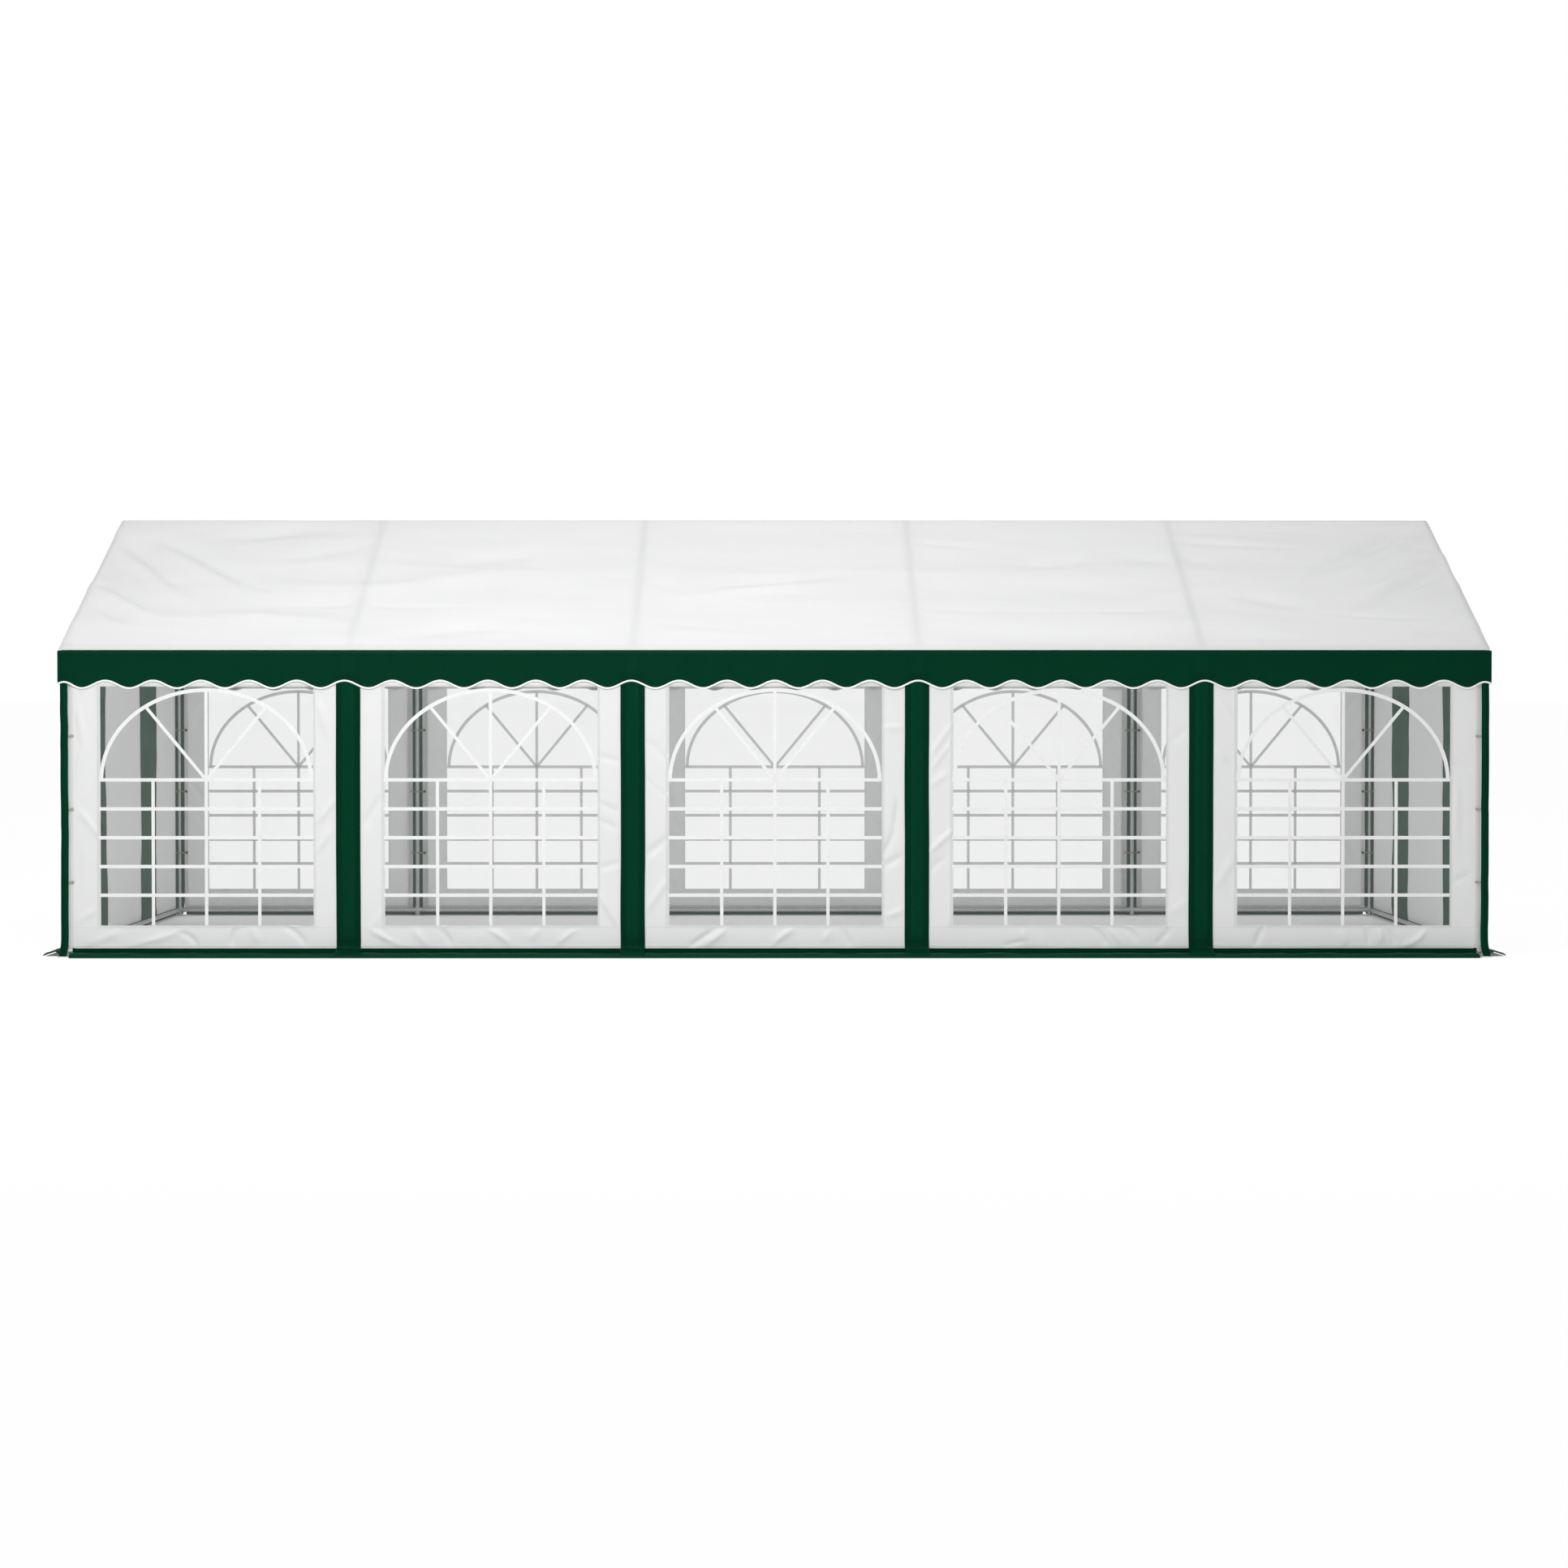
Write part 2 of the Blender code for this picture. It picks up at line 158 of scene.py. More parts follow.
# %% Finishes
class Finish:
    """A material, or the surround, while its tree of nodes is being made."""

    def __init__(self, owner):
        self.owner = owner
        owner.use_nodes = True
        self.tree = owner.node_tree
        self.tree.nodes.clear()

    def node(self, kind, settings=None, sockets=None):
        """Make a node: its settings first, then what goes into its sockets."""
        made = self.tree.nodes.new(kind)
        for name, value in (settings or {}).items():
            setattr(made, name, value)
        for name, value in (sockets or {}).items():
            found = [s for i, s in enumerate(made.inputs) if name in (i, s.identifier)]
            if isinstance(value, Wire):
                self.tree.links.new(value.socket, found[0])
            else:
                found[0].default_value = value
        return made

    def out(self, node, name=0):
        """A wire from one of a node's outputs."""
        return Wire(self, [s for i, s in enumerate(node.outputs) if name in (i, s.identifier)][0])

    def blend(self, mask, low, high):
        """Colour low where the mask is 0, and high where it is 1."""
        sockets = {"Factor_Float": mask, "A_Color": low, "B_Color": high}
        return self.out(self.node("ShaderNodeMix", {"data_type": "RGBA"}, sockets), "Result_Color")

    def noise(self, place, scale, detail=2.0):
        """Smooth random values about 0.5."""
        sockets = {"Vector": place, "Scale": scale, "Detail": detail}
        return self.out(self.node("ShaderNodeTexNoise", None, sockets), "Fac")

    def bump(self, height, distance, strength):
        """Turn a height in parts of a distance into a normal."""
        sockets = {"Height": height, "Distance": distance, "Strength": strength}
        return self.out(self.node("ShaderNodeBump", None, sockets))

    def mix(self, mask, first, second):
        """Mix two shaders."""
        return self.out(self.node("ShaderNodeMixShader", None, {0: mask, 1: first, 2: second}))

    def done(self, shader, output="ShaderNodeOutputMaterial"):
        """Send the shader to the surface, and hand over what it was made for."""
        self.node(output, None, {"Surface": shader})
        return self.owner


def new_finish(name):
    """Start a material."""
    return Finish(bpy.data.materials.new(name))


def grey(value):
    """A neutral colour."""
    return (value, value, value, 1.0)


# %% [markdown]
# ## Light
#
# The tent stands in a white studio. The surround looks white to the camera, but it gives only a dim,
# even light, a little brighter overhead. A large soft lamp, high in front and left of the middle,
# does the rest, with a smaller one over the roof. Because they come from the front, they draw the
# folds, they leave the roof's rolled ends dark, and the tent's right end falls off a little.

# %% Surround and lamp
SIDE_LIGHT = 0.40
TOP_LIGHT = 0.75
KEY_AT = (-3.0, -10.5, 7.5)
KEY_AIM = (-1.5, -1.5, 1.5)
KEY_SIZE = (5.0, 3.5)
KEY_WATTS = 755.0
TOP_AT = (0.4, -3.6, 12.0)
TOP_AIM = (0.2, -0.6, 3.0)
TOP_SIZE = (6.0, 3.0)
TOP_WATTS = 325.0

surround = Finish(bpy.data.worlds.new("white_surround"))
direction = surround.out(surround.node("ShaderNodeTexCoord"), "Generated")
height = surround.out(surround.node("ShaderNodeSeparateXYZ", None, {0: direction}), "Z")
overhead = height.math("MAXIMUM", height, 0.0)
strength = SIDE_LIGHT + overhead * (TOP_LIGHT - SIDE_LIGHT)
dim = surround.node("ShaderNodeBackground", None, {"Color": grey(1.0), "Strength": strength})
white = surround.node("ShaderNodeBackground", None, {"Color": grey(1.0), "Strength": 1.0})
seen = surround.out(surround.node("ShaderNodeLightPath"), "Is Camera Ray")
shader = surround.mix(seen, surround.out(dim), surround.out(white))
bpy.context.scene.world = surround.done(shader, "ShaderNodeOutputWorld")
bpy.context.scene.view_settings.view_transform = "Standard"


def soft_lamp(name, at, aim, size, watts):
    """A rectangular lamp that points from one place at another."""
    data = bpy.data.lights.new(name, "AREA")
    data.shape = "RECTANGLE"
    data.size, data.size_y = size
    data.energy = watts
    lamp = bpy.data.objects.new(name, data)
    away = [b - a for a, b in zip(at, aim)]
    lamp.location = at
    turn = math.atan2(away[1], away[0]) - math.pi / 2
    tilt = math.atan2(away[2], math.hypot(away[0], away[1]))
    lamp.rotation_euler = (math.pi / 2 + tilt, 0.0, turn)
    bpy.context.scene.collection.objects.link(lamp)
    return lamp


soft_lamp("key_lamp", KEY_AT, KEY_AIM, KEY_SIZE, KEY_WATTS)
soft_lamp("top_lamp", TOP_AT, TOP_AIM, TOP_SIZE, TOP_WATTS)
print("surround", SIDE_LIGHT, "to", TOP_LIGHT, "and lamps of", KEY_WATTS, "and", TOP_WATTS, "W")

# %% [markdown]
# ## Floor
#
# The floor must look white right up to the skirt, with no shadow on it, like a light table. So it
# glows by itself outside the tent, a little more near it, and takes hardly any light. Inside the
# tent and under its skirts it glows only faintly, and takes the light that comes in.

# %% Floor
FLOOR_HALF = 2000.0
BELOW = 0.001
OUTSIDE_GREY = 0.05
INSIDE_GREY = 0.9
GLOW = 0.95
NEAR_GLOW = 0.96
GLOW_REACH = 30.0
INSIDE_GLOW = 0.14
SKIRT_COVER = 0.155

floor_finish = new_finish("studio_floor")
axes = floor_finish.node("ShaderNodeSeparateXYZ", None, {
    0: floor_finish.out(floor_finish.node("ShaderNodeTexCoord"), "Object"),
})
floor_x, floor_y = floor_finish.out(axes, "X"), floor_finish.out(axes, "Y")
inside = (abs(floor_x) < HALF_LENGTH + SKIRT_COVER) * (abs(floor_y) < HALF_WIDTH + SKIRT_COVER)
near = (1.0 + (floor_x * floor_x + floor_y * floor_y) * GLOW_REACH**-2) ** -1.0
glow = floor_finish.blend(near, grey(GLOW), grey(NEAR_GLOW))
look = {
    "Base Color": floor_finish.blend(inside, grey(OUTSIDE_GREY), grey(INSIDE_GREY)),
    "Emission Color": floor_finish.blend(inside, glow, grey(INSIDE_GLOW)),
    "Emission Strength": 1.0,
    "Roughness": 1.0,
    "Specular IOR Level": 0.0,
}
floor_shader = floor_finish.node("ShaderNodeBsdfPrincipled", None, look)
floor_mesh = bpy.data.meshes.new("studio_floor")
floor_corners = [
    (x * FLOOR_HALF, y * FLOOR_HALF, -BELOW) for x, y in ((-1, -1), (1, -1), (1, 1), (-1, 1))
]
floor_mesh.from_pydata(floor_corners, [], [(0, 1, 2, 3)])
floor_mesh.materials.append(floor_finish.done(floor_finish.out(floor_shader)))
floor = bpy.data.objects.new("studio_floor", floor_mesh)
bpy.context.scene.collection.objects.link(floor)
print("floor laid,", 2 * FLOOR_HALF, "m square")

# %% [markdown]
# ## Finish: galvanised steel
#
# Marquee tubes are dipped in zinc, which sets in small crystals, each a slightly different grey.
# Random cells give the crystals, and a slow noise makes some stretches duller than others.

# %% Galvanised steel
def make_steel():
    steel = new_finish("galvanised_steel")
    place = steel.out(steel.node("ShaderNodeTexCoord"), "Object")
    cells = steel.node("ShaderNodeTexVoronoi", {"feature": "F1"}, {"Vector": place, "Scale": 110.0})
    crystal = steel.out(steel.node("ShaderNodeSeparateColor", None, {0: steel.out(cells, "Color")}))
    dull = steel.noise(place, 7.0, 4.0)
    look = {
        "Base Color": steel.blend(crystal * 0.6 + dull * 0.4, grey(0.46), (0.64, 0.65, 0.64, 1.0)),
        "Roughness": 0.36 + dull * 0.18,
        "Metallic": 0.9,
        "Normal": steel.bump(crystal * 0.3 + steel.noise(place, 400.0), 0.0002, 0.4),
    }
    return steel.done(steel.out(steel.node("ShaderNodeBsdfPrincipled", None, look)))


STEEL = make_steel()
print(STEEL.name, "has", len(STEEL.node_tree.nodes), "nodes")

# %% [markdown]
# ## Finish: coated sheet
#
# The cloth is a woven scrim with plastic on both faces. Close up, the threads still show as a fine
# even grid, so a bump follows the sheet's own directions, stored on each mesh as "cloth" in metres.
# White sheet lets light through, which is why the tent glows inside: a Translucent shader carries
# that share, and where two layers lie on each other the sheet looks darker. Green sheet lets through
# very little. Its low index of refraction keeps it deep in colour from the front and lets it shine at
# a low angle, as the gable stripes do.

# %% Coated sheet
THREAD = 0.0016
THREAD_DEPTH = 0.00012
GRAIN = 900.0
GRAIN_DEPTH = 0.0001


def weave_bump(sheet, place):
    """The grid of threads, with soft unevenness from the coating on top of it."""
    cloth = sheet.out(sheet.node("ShaderNodeAttribute", {"attribute_name": "cloth"}), "Vector")
    axes = sheet.node("ShaderNodeSeparateXYZ", None, {0: cloth})
    turn = 2 * math.pi / THREAD
    threads = [
        sheet.out(sheet.node("ShaderNodeMath", {"operation": "SINE"}, {0: sheet.out(axes, i) * turn}))
        for i in (0, 1)
    ]
    coating = sheet.noise(place, 30.0, 3.0)
    return sheet.bump(threads[0] * threads[1] * 0.4 + coating * 3.0, THREAD_DEPTH, 0.4)


def make_cloudy(
    name, dark, light, roughness, uneven=0.12, metallic=0.0, scale=40.0, ior=1.45,
    woven=False, through=0.0, glow=None,
):
    """A cloudy colour with an uneven gloss, on cloth or with a fine grain. It may let light through."""
    made = new_finish(name)
    place = made.out(made.node("ShaderNodeTexCoord"), "Object")
    cloudy = made.noise(place, scale, 3.0)
    grain = weave_bump(made, place) if woven else made.bump(made.noise(place, GRAIN), GRAIN_DEPTH, 0.4)
    look = {
        "Base Color": made.blend(cloudy, (*dark, 1.0), (*light, 1.0)),
        "Roughness": roughness + cloudy * uneven,
        "Metallic": metallic,
        "IOR": ior,
        "Normal": grain,
    }
    face = made.out(made.node("ShaderNodeBsdfPrincipled", None, look))
    if not through:
        return made.done(face)
    passing = made.out(made.node("ShaderNodeBsdfTranslucent", None, {"Color": (*glow, 1.0)}))
    return made.done(made.mix(through, face, passing))


WHITE = make_cloudy(
    "white_sheet", (0.734, 0.738, 0.736), (0.767, 0.769, 0.767), 0.40,
    scale=1.6, ior=1.35, woven=True, through=0.30, glow=(0.847, 0.857, 0.852),
)
GREEN = make_cloudy(
    "green_sheet", (0.0008, 0.0325, 0.0152), (0.0014, 0.0378, 0.0176), 0.34,
    uneven=0.14, scale=2.2, ior=1.09, woven=True, through=0.30, glow=(0.003, 0.10, 0.045),
)
print(WHITE.name, "and", GREEN.name, "have", len(WHITE.node_tree.nodes), "nodes each")

# %% [markdown]
# ## Finish: clear window film
#
# The windows are soft clear plastic. Most light goes straight through it, a little is lost as haze,
# and its surface mirrors the room at a low angle. Layer Weight gives that rise of the mirror.

# %% Clear film
def make_film():
    film = new_finish("clear_film")
    place = film.out(film.node("ShaderNodeTexCoord"), "Object")
    slow = film.noise(place, 3.0, 2.0)
    ripple = film.bump(slow, 0.002, 0.3)
    shine = {"Base Color": grey(0.9), "Metallic": 1.0, "Roughness": 0.07, "Normal": ripple}
    mirror = film.out(film.node("ShaderNodeBsdfPrincipled", None, shine))
    milk = {"Base Color": grey(0.85), "Roughness": 0.5}
    haze = film.out(film.node("ShaderNodeBsdfPrincipled", None, milk))
    clear = film.out(film.node("ShaderNodeBsdfTransparent", None, {"Color": (0.938, 0.942, 0.940, 1.0)}))
    edge_on = film.out(film.node("ShaderNodeLayerWeight", None, {"Blend": 0.5}), "Facing")
    body = film.mix(0.025 + slow * 0.02, clear, haze)
    return film.done(film.mix(0.03 + (edge_on ** 5.0) * 0.9, body, mirror))


FILM = make_film()
print(FILM.name, "has", len(FILM.node_tree.nodes), "nodes")

# %% [markdown]
# ## Finishes: bars, piping, ties and eyelets
#
# The small parts are solid plastic, rubber and nickel. Each still has a little variation, so that it
# doesn't look like paint. The window bars are milky, so that daylight shows through them.

# %% Small parts
BAR = make_cloudy(
    "white_window_bar", (0.90, 0.90, 0.90), (0.93, 0.93, 0.93), 0.35,
    scale=5.0, ior=1.35, through=0.5, glow=(0.95, 0.95, 0.95),
)
PIPING = make_cloudy("white_piping", (0.72, 0.73, 0.725), (0.78, 0.79, 0.785), 0.35, scale=20.0, ior=1.35)
ELASTIC = make_cloudy("elastic_cord", (0.30, 0.22, 0.15), (0.40, 0.30, 0.21), 0.6)
KNOB = make_cloudy("dark_ball", (0.030, 0.026, 0.024), (0.045, 0.040, 0.036), 0.4)
NICKEL = make_cloudy("nickel_eyelet", (0.52, 0.51, 0.48), (0.62, 0.61, 0.58), 0.25, metallic=1.0)
ZIP = make_cloudy("white_zip", (0.62, 0.63, 0.62), (0.72, 0.73, 0.72), 0.4, scale=60.0)
print("finishes:", [m.name for m in (STEEL, WHITE, GREEN, FILM, BAR, PIPING, ELASTIC, KNOB, NICKEL, ZIP)])

# %% [markdown]
# ## The steel frame
#
# Posts, rafters, eave bars, ridge bar and ground bars are already the right shape. Only their
# material is changed.

# %% Steel on the frame
FRAME_WORDS = ("post_", "rafter_pair_", "eave_bar_", "ground_bar_", "ridge_bar")
tubes = [node for name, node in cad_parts.items() if name.startswith(FRAME_WORDS)]
for tube in tubes:
    tube.data.materials.clear()
    tube.data.materials.append(STEEL)
print("steel on", len(tubes), "nodes")

# %% [markdown]
# ## Sheets from a grid
#
# Cloth is a thin surface, so each sheet starts as a grid of lines across and down. A function then
# says where each crossing lies. Folds are sums of simple hills: slow noise for slack, and narrow
# ridges for creases. A hem is a small step up in the same sheet, held by two lines close together.

# %% Lines and steps
STEP = 0.0014


def spread(low, high, spacing, edges=()):
    """Even lines from low to high, with a close pair at each edge to hold a crisp step there."""
    even = np.linspace(low, high, max(2, round((high - low) / spacing) + 1))
    clear = np.ones(len(even), bool)
    for edge in edges:
        clear &= abs(even - edge) > 0.4 * spacing
    clear[[0, -1]] = True
    pairs = [edge + turn * STEP / 2 for edge in edges for turn in (-1, 1)]
    return np.unique(np.concatenate([even[clear], pairs]))


def rise(value, edge):
    """0 before an edge and 1 after it."""
    return np.clip((value - edge) / STEP + 0.5, 0, 1)


def fade(value, span):
    """0 at nothing, growing smoothly to 1 at a span."""
    share = np.clip(value / span, 0, 1)
    return share * share * (3 - 2 * share)


print("lines round a hem's edge at 0.10:", spread(0.0, 0.2, 0.05, [0.1]).round(4))

# %% [markdown]
# Slack cloth has slow, random swells. A table of random numbers, read between its entries along a
# smooth curve, gives them, and the same seed gives the same swells each time.

# %% Swells and creases
def swell(a, b, size_a, size_b, seed):
    """Smooth random hills from -1 to 1, about size_a by size_b metres each."""
    table = np.random.default_rng(seed).uniform(-1, 1, (64, 64))
    u = np.asarray(a) / size_a + 17.3
    v = np.asarray(b) / size_b + 11.7
    i, j = np.floor(u).astype(int), np.floor(v).astype(int)
    s, t = u - i, v - j
    s = s * s * s * (s * (6 * s - 15) + 10)
    t = t * t * t * (t * (6 * t - 15) + 10)
    corners = [[table[(i + di) % 64, (j + dj) % 64] for dj in (0, 1)] for di in (0, 1)]
    near = corners[0][0] * (1 - t) + corners[0][1] * t
    far = corners[1][0] * (1 - t) + corners[1][1] * t
    return near * (1 - s) + far * s


def crease(a, b, ends, width, height, bow=0.0):
    """A ridge from one place to another, that dies away at both ends. It may bow to one side."""
    a0, b0, a1, b1 = ends
    length = math.hypot(a1 - a0, b1 - b0)
    along = ((a - a0) * (a1 - a0) + (b - b0) * (b1 - b0)) / length**2
    aside = ((b - b0) * (a1 - a0) - (a - a0) * (b1 - b0)) / length
    share = np.clip(along, 0, 1)
    aside = aside - bow * 4 * share * (1 - share)
    ends_off = fade(along + 0.15, 0.5) * fade(1.15 - along, 0.5)
    return height * ends_off * np.exp(-((aside / width) ** 2))


print("a swell along one metre:", swell(np.linspace(0, 1, 5), 0, 0.5, 0.5, 1).round(2))

# %% [markdown]
# A part is a list of points and faces, with each point's place on the flat cloth for the weave. There
# are two ways to make one. A sheet is a grid of points. A sweep runs a small closed section along a
# path that is drawn on a sheet, which gives piping, window bars, zips and cords.

# %% Parts
def sheet_part(across, down, place, keep=None, turn=False):
    """A grid of lines across and down. Place gives x, y and z at each crossing."""
    a, b = np.meshgrid(across, down)
    points = np.stack(np.broadcast_arrays(*place(a, b)), axis=-1).reshape(-1, 3)
    cloth = np.stack([a, b, 0 * a], axis=-1).reshape(-1, 3)
    corner = np.arange(a.size).reshape(a.shape)
    quads = np.stack([corner[:-1, :-1], corner[:-1, 1:], corner[1:, 1:], corner[1:, :-1]], axis=-1)
    if keep is not None:
        inside = keep((a[:-1, :-1] + a[1:, 1:]) / 2, (b[:-1, :-1] + b[1:, 1:]) / 2)
        quads = quads[inside]
    quads = quads.reshape(-1, 4)
    if turn:
        quads = quads[:, ::-1]
    used, renumbered = np.unique(quads, return_inverse=True)
    return points[used], renumbered.reshape(-1, 4).tolist(), cloth[used]


def sweep_part(path, section, place):
    """Run a closed section along a path. The path is drawn on a sheet, and place lifts it off."""
    u, v = np.asarray(path, float).T
    du, dv = np.gradient(u), np.gradient(v)
    size = np.hypot(du, dv)
    aside, lift = np.asarray(section, float).T
    a = u[:, None] - (dv / size)[:, None] * aside
    b = v[:, None] + (du / size)[:, None] * aside
    points = np.stack(np.broadcast_arrays(*place(a, b, lift[None, :])), axis=-1)
    rings, sides = points.shape[:2]
    corner = np.arange(rings * sides).reshape(rings, sides)
    after = np.roll(corner, -1, axis=1)
    quads = np.stack([corner[:-1], after[:-1], after[1:], corner[1:]], axis=-1).reshape(-1, 4)
    faces = quads.tolist() + [corner[0, ::-1].tolist(), corner[-1].tolist()]
    run = np.concatenate([[0], np.cumsum(size[1:])])
    cloth = np.stack(np.broadcast_arrays(run[:, None], aside[None, :], 0.0), axis=-1)
    return points.reshape(-1, 3), faces, cloth.reshape(-1, 3)


def ring_of(count, half_across, half_lift):
    """A round or oval section for a sweep."""
    turns = np.linspace(0, 2 * math.pi, count, endpoint=False)
    return [(half_across * math.cos(t), half_lift * math.sin(t)) for t in turns]


# %% [markdown]
# A piece is an object made of one or more parts. It rides with the tent, it says what kind of surface
# it has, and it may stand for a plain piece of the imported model, which is then hidden.


def tidy_normals(mesh):
    """Point the faces of closed parts outwards."""
    bm = bmesh.new()
    bm.from_mesh(mesh)
    bmesh.ops.recalc_face_normals(bm, faces=bm.faces)
    bm.to_mesh(mesh)
    bm.free()


def piece(name, parts, finish, stands_for=(), solid=False):
    """Join parts into one object that rides with the tent."""
    points, faces, cloth, start = [], [], [], 0
    for part_points, part_faces, part_cloth in parts:
        points.append(part_points)
        faces += [[i + start for i in face] for face in part_faces]
        cloth.append(part_cloth)
        start += len(part_points)
    mesh = bpy.data.meshes.new(name)
    mesh.from_pydata(np.concatenate(points).tolist(), [], faces)
    stored = mesh.attributes.new("cloth", "FLOAT_VECTOR", "POINT")
    stored.data.foreach_set("vector", np.concatenate(cloth).astype(np.float32).ravel())
    mesh.materials.append(finish)
    mesh.update()
    if solid:
        tidy_normals(mesh)
    mesh.shade_smooth()
    mesh.set_sharp_from_angle(angle=math.radians(40))
    made = bpy.data.objects.new(name, mesh)
    bpy.context.scene.collection.objects.link(made)
    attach(made, "root")
    if stands_for:
        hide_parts(*stands_for)
    return made


# %% [markdown]
# ## The roof
#
# One white sheet lies over the ridge bar and the rafters, from eave to eave. It is pulled tight from
# end to end, so its slack gathers in long flat swells along the bays. Sharper folds fan out from
# the ridge's ends and from the joints in the middle of the end rafters, where the sheet is pulled
# round a corner. The ends sink over the end rafters and roll down. A band is sewn under the sheet
# along each inner rafter, and a hem along each eave. Two layers let less light through, so they
# show as slightly darker stripes.

# %% Roof measures and folds
RIDGE_ROUND = 0.018
ROLL = 0.012
END_SINK = 0.012
END_SINK_FROM = 0.050
BAND_HALF = 0.025
LAYER = 0.0012
ROOF_FOLD_DEPTH = 3.0
ROOF_FOLD_WIDTH = 1.3
KINK = 0.0045
ROOF_HEM = 0.075
SAG = 0.010
RAFTER_REACH = 0.10
ROOF_SPACING = 0.026
SEAM = 0.0004
# Folds as x and y of both ends on the front slope, half width and height. The back has the same ones.
ROOF_FOLDS = [
    (-4.99, -0.28, -4.25, -1.62, 0.075, -0.012),
    (-4.94, -0.58, -4.18, -1.74, 0.060, 0.010),
    (-4.72, -0.30, -3.78, -1.36, 0.055, -0.008),
    (-4.66, -0.52, -3.90, -1.42, 0.060, 0.006),
    (-5.03, -1.36, -4.50, -1.92, 0.050, 0.011),
    (-5.00, -1.55, -4.62, -2.05, 0.050, -0.007),
    (-4.30, -0.42, -3.40, -0.12, 0.090, -0.008),
    (-3.75, -1.68, -2.10, -1.73, 0.030, -0.003),
    (-4.10, -1.80, -2.90, -2.12, 0.080, 0.007),
    (-2.45, -0.88, -1.70, -0.62, 0.090, -0.007),
    (-2.75, -2.32, -1.90, -2.04, 0.080, -0.006),
    (-0.60, -1.52, 0.40, -1.22, 0.070, 0.008),
    (-0.45, -1.36, 0.55, -1.10, 0.070, -0.007),
    (-3.70, -0.82, -3.00, -0.52, 0.070, -0.005),
    (-3.05, -1.45, -1.95, -1.05, 0.090, 0.006),
    (-1.35, -1.08, -0.70, -1.36, 0.040, -0.003),
    (4.93, -0.06, 3.95, -1.12, 0.050, -0.012),
    (4.97, -0.30, 4.10, -1.30, 0.050, 0.011),
    (5.00, -1.02, 4.22, -1.75, 0.050, -0.012),
    (5.00, -0.86, 4.30, -1.50, 0.050, 0.009),
    (5.02, -1.92, 4.55, -2.24, 0.045, -0.007),
    (1.80, -0.92, 2.35, -0.78, 0.070, -0.006),
    (1.30, -1.83, 2.95, -1.81, 0.030, -0.003),
    (2.55, -0.74, 3.30, -0.86, 0.060, -0.006),
    (2.95, -0.46, 3.90, -0.56, 0.040, -0.005),
    (0.80, -0.44, 1.65, -0.56, 0.040, -0.003),
    (3.35, -1.50, 3.85, -1.72, 0.070, -0.007),
    (3.90, -1.82, 4.80, -1.96, 0.030, -0.004),
    (2.70, -1.58, 3.35, -1.32, 0.060, 0.005),
]
print(len(ROOF_FOLDS), "folds on each slope")

# %% [markdown]
# The roof's surface is one function of x and y. It starts from two straight slopes with a rounded
# ridge, and adds sag, swells and folds. A fold that goes down stops at a rafter, since the tube
# carries the sheet there.

# %% Roof surface
def roof_height(y):
    """The roof's outer face before any fold, rounded over the ridge."""
    return RIDGE_TOP + 0.002 - SLOPE * np.sqrt(y * y + RIDGE_ROUND**2)


def roof_lift(x, y):
    """How far folds and sag move the sheet off its plain slopes. It never sinks into a rafter."""
    slack = fade(ROOF_EDGE - abs(y), 0.25) * fade(abs(y) - 0.02, 0.25)
    bay = np.abs(np.sin(math.pi * (x - POST_X[0]) / (POST_X[1] - POST_X[0])))
    lift = -SAG * bay * slack
    seed = np.where(y < 0, 0.0, 40.0)
    lift = lift + 0.0120 * swell(x + 0.5 * y, y + seed, 1.20, 0.30, 3) * slack
    lift = lift + 0.0032 * swell(x + 2 * y, y + seed, 0.40, 0.14, 4) * slack
    for *ends, width, height in ROOF_FOLDS:
        lift = lift + crease(x, -abs(y), ends, width * ROOF_FOLD_WIDTH, height * ROOF_FOLD_DEPTH)
    for post in POST_X:
        resting = np.exp(-(((x - post) / RAFTER_REACH) ** 2))
        lift = np.where(lift < 0, lift * (1 - resting), lift)
    for end in ENDS.values():
        joint = ((x - end * HALF_LENGTH) / 0.10) ** 2 + ((abs(y) - ROOF_EDGE / 2) / 0.09) ** 2
        lift = lift + 0.010 * np.exp(-joint)
    return lift


def rake_step(y):
    """Above the joint of each end rafter, the sheet's edge is pulled in a little."""
    return KINK * (np.tanh((abs(y) - ROOF_EDGE / 2) / 0.04) - 1)


def roof_place(x, y, layer=0.0):
    """The sheet's ends sink and roll down over the end rafters. Seams of bands and hems stand up."""
    turned = np.clip((abs(x) - (ROOF_END - ROLL)) / ROLL, 0, math.pi / 2)
    flat_x = np.minimum(abs(x), ROOF_END - ROLL) + ROLL * np.sin(turned)
    sunk = np.clip((flat_x - (ROOF_END - END_SINK_FROM)) / END_SINK_FROM, 0, 1)
    seams = rise(abs(y), ROOF_EDGE - ROOF_HEM)
    for post in POST_X[1:-1]:
        seams = np.maximum(seams, 1 - rise(abs(x - post), BAND_HALF))
    z = roof_height(y) + roof_lift(x, y) + SEAM * seams - END_SINK * sunk**2.0
    return np.sign(x) * (flat_x + rake_step(y) * sunk), y, z - ROLL * (1 - np.cos(turned)) - layer


# %% [markdown]
# The lines of the grid are even, with more of them where the sheet bends sharply, at the ridge, at
# the rolled ends and beside the seams.

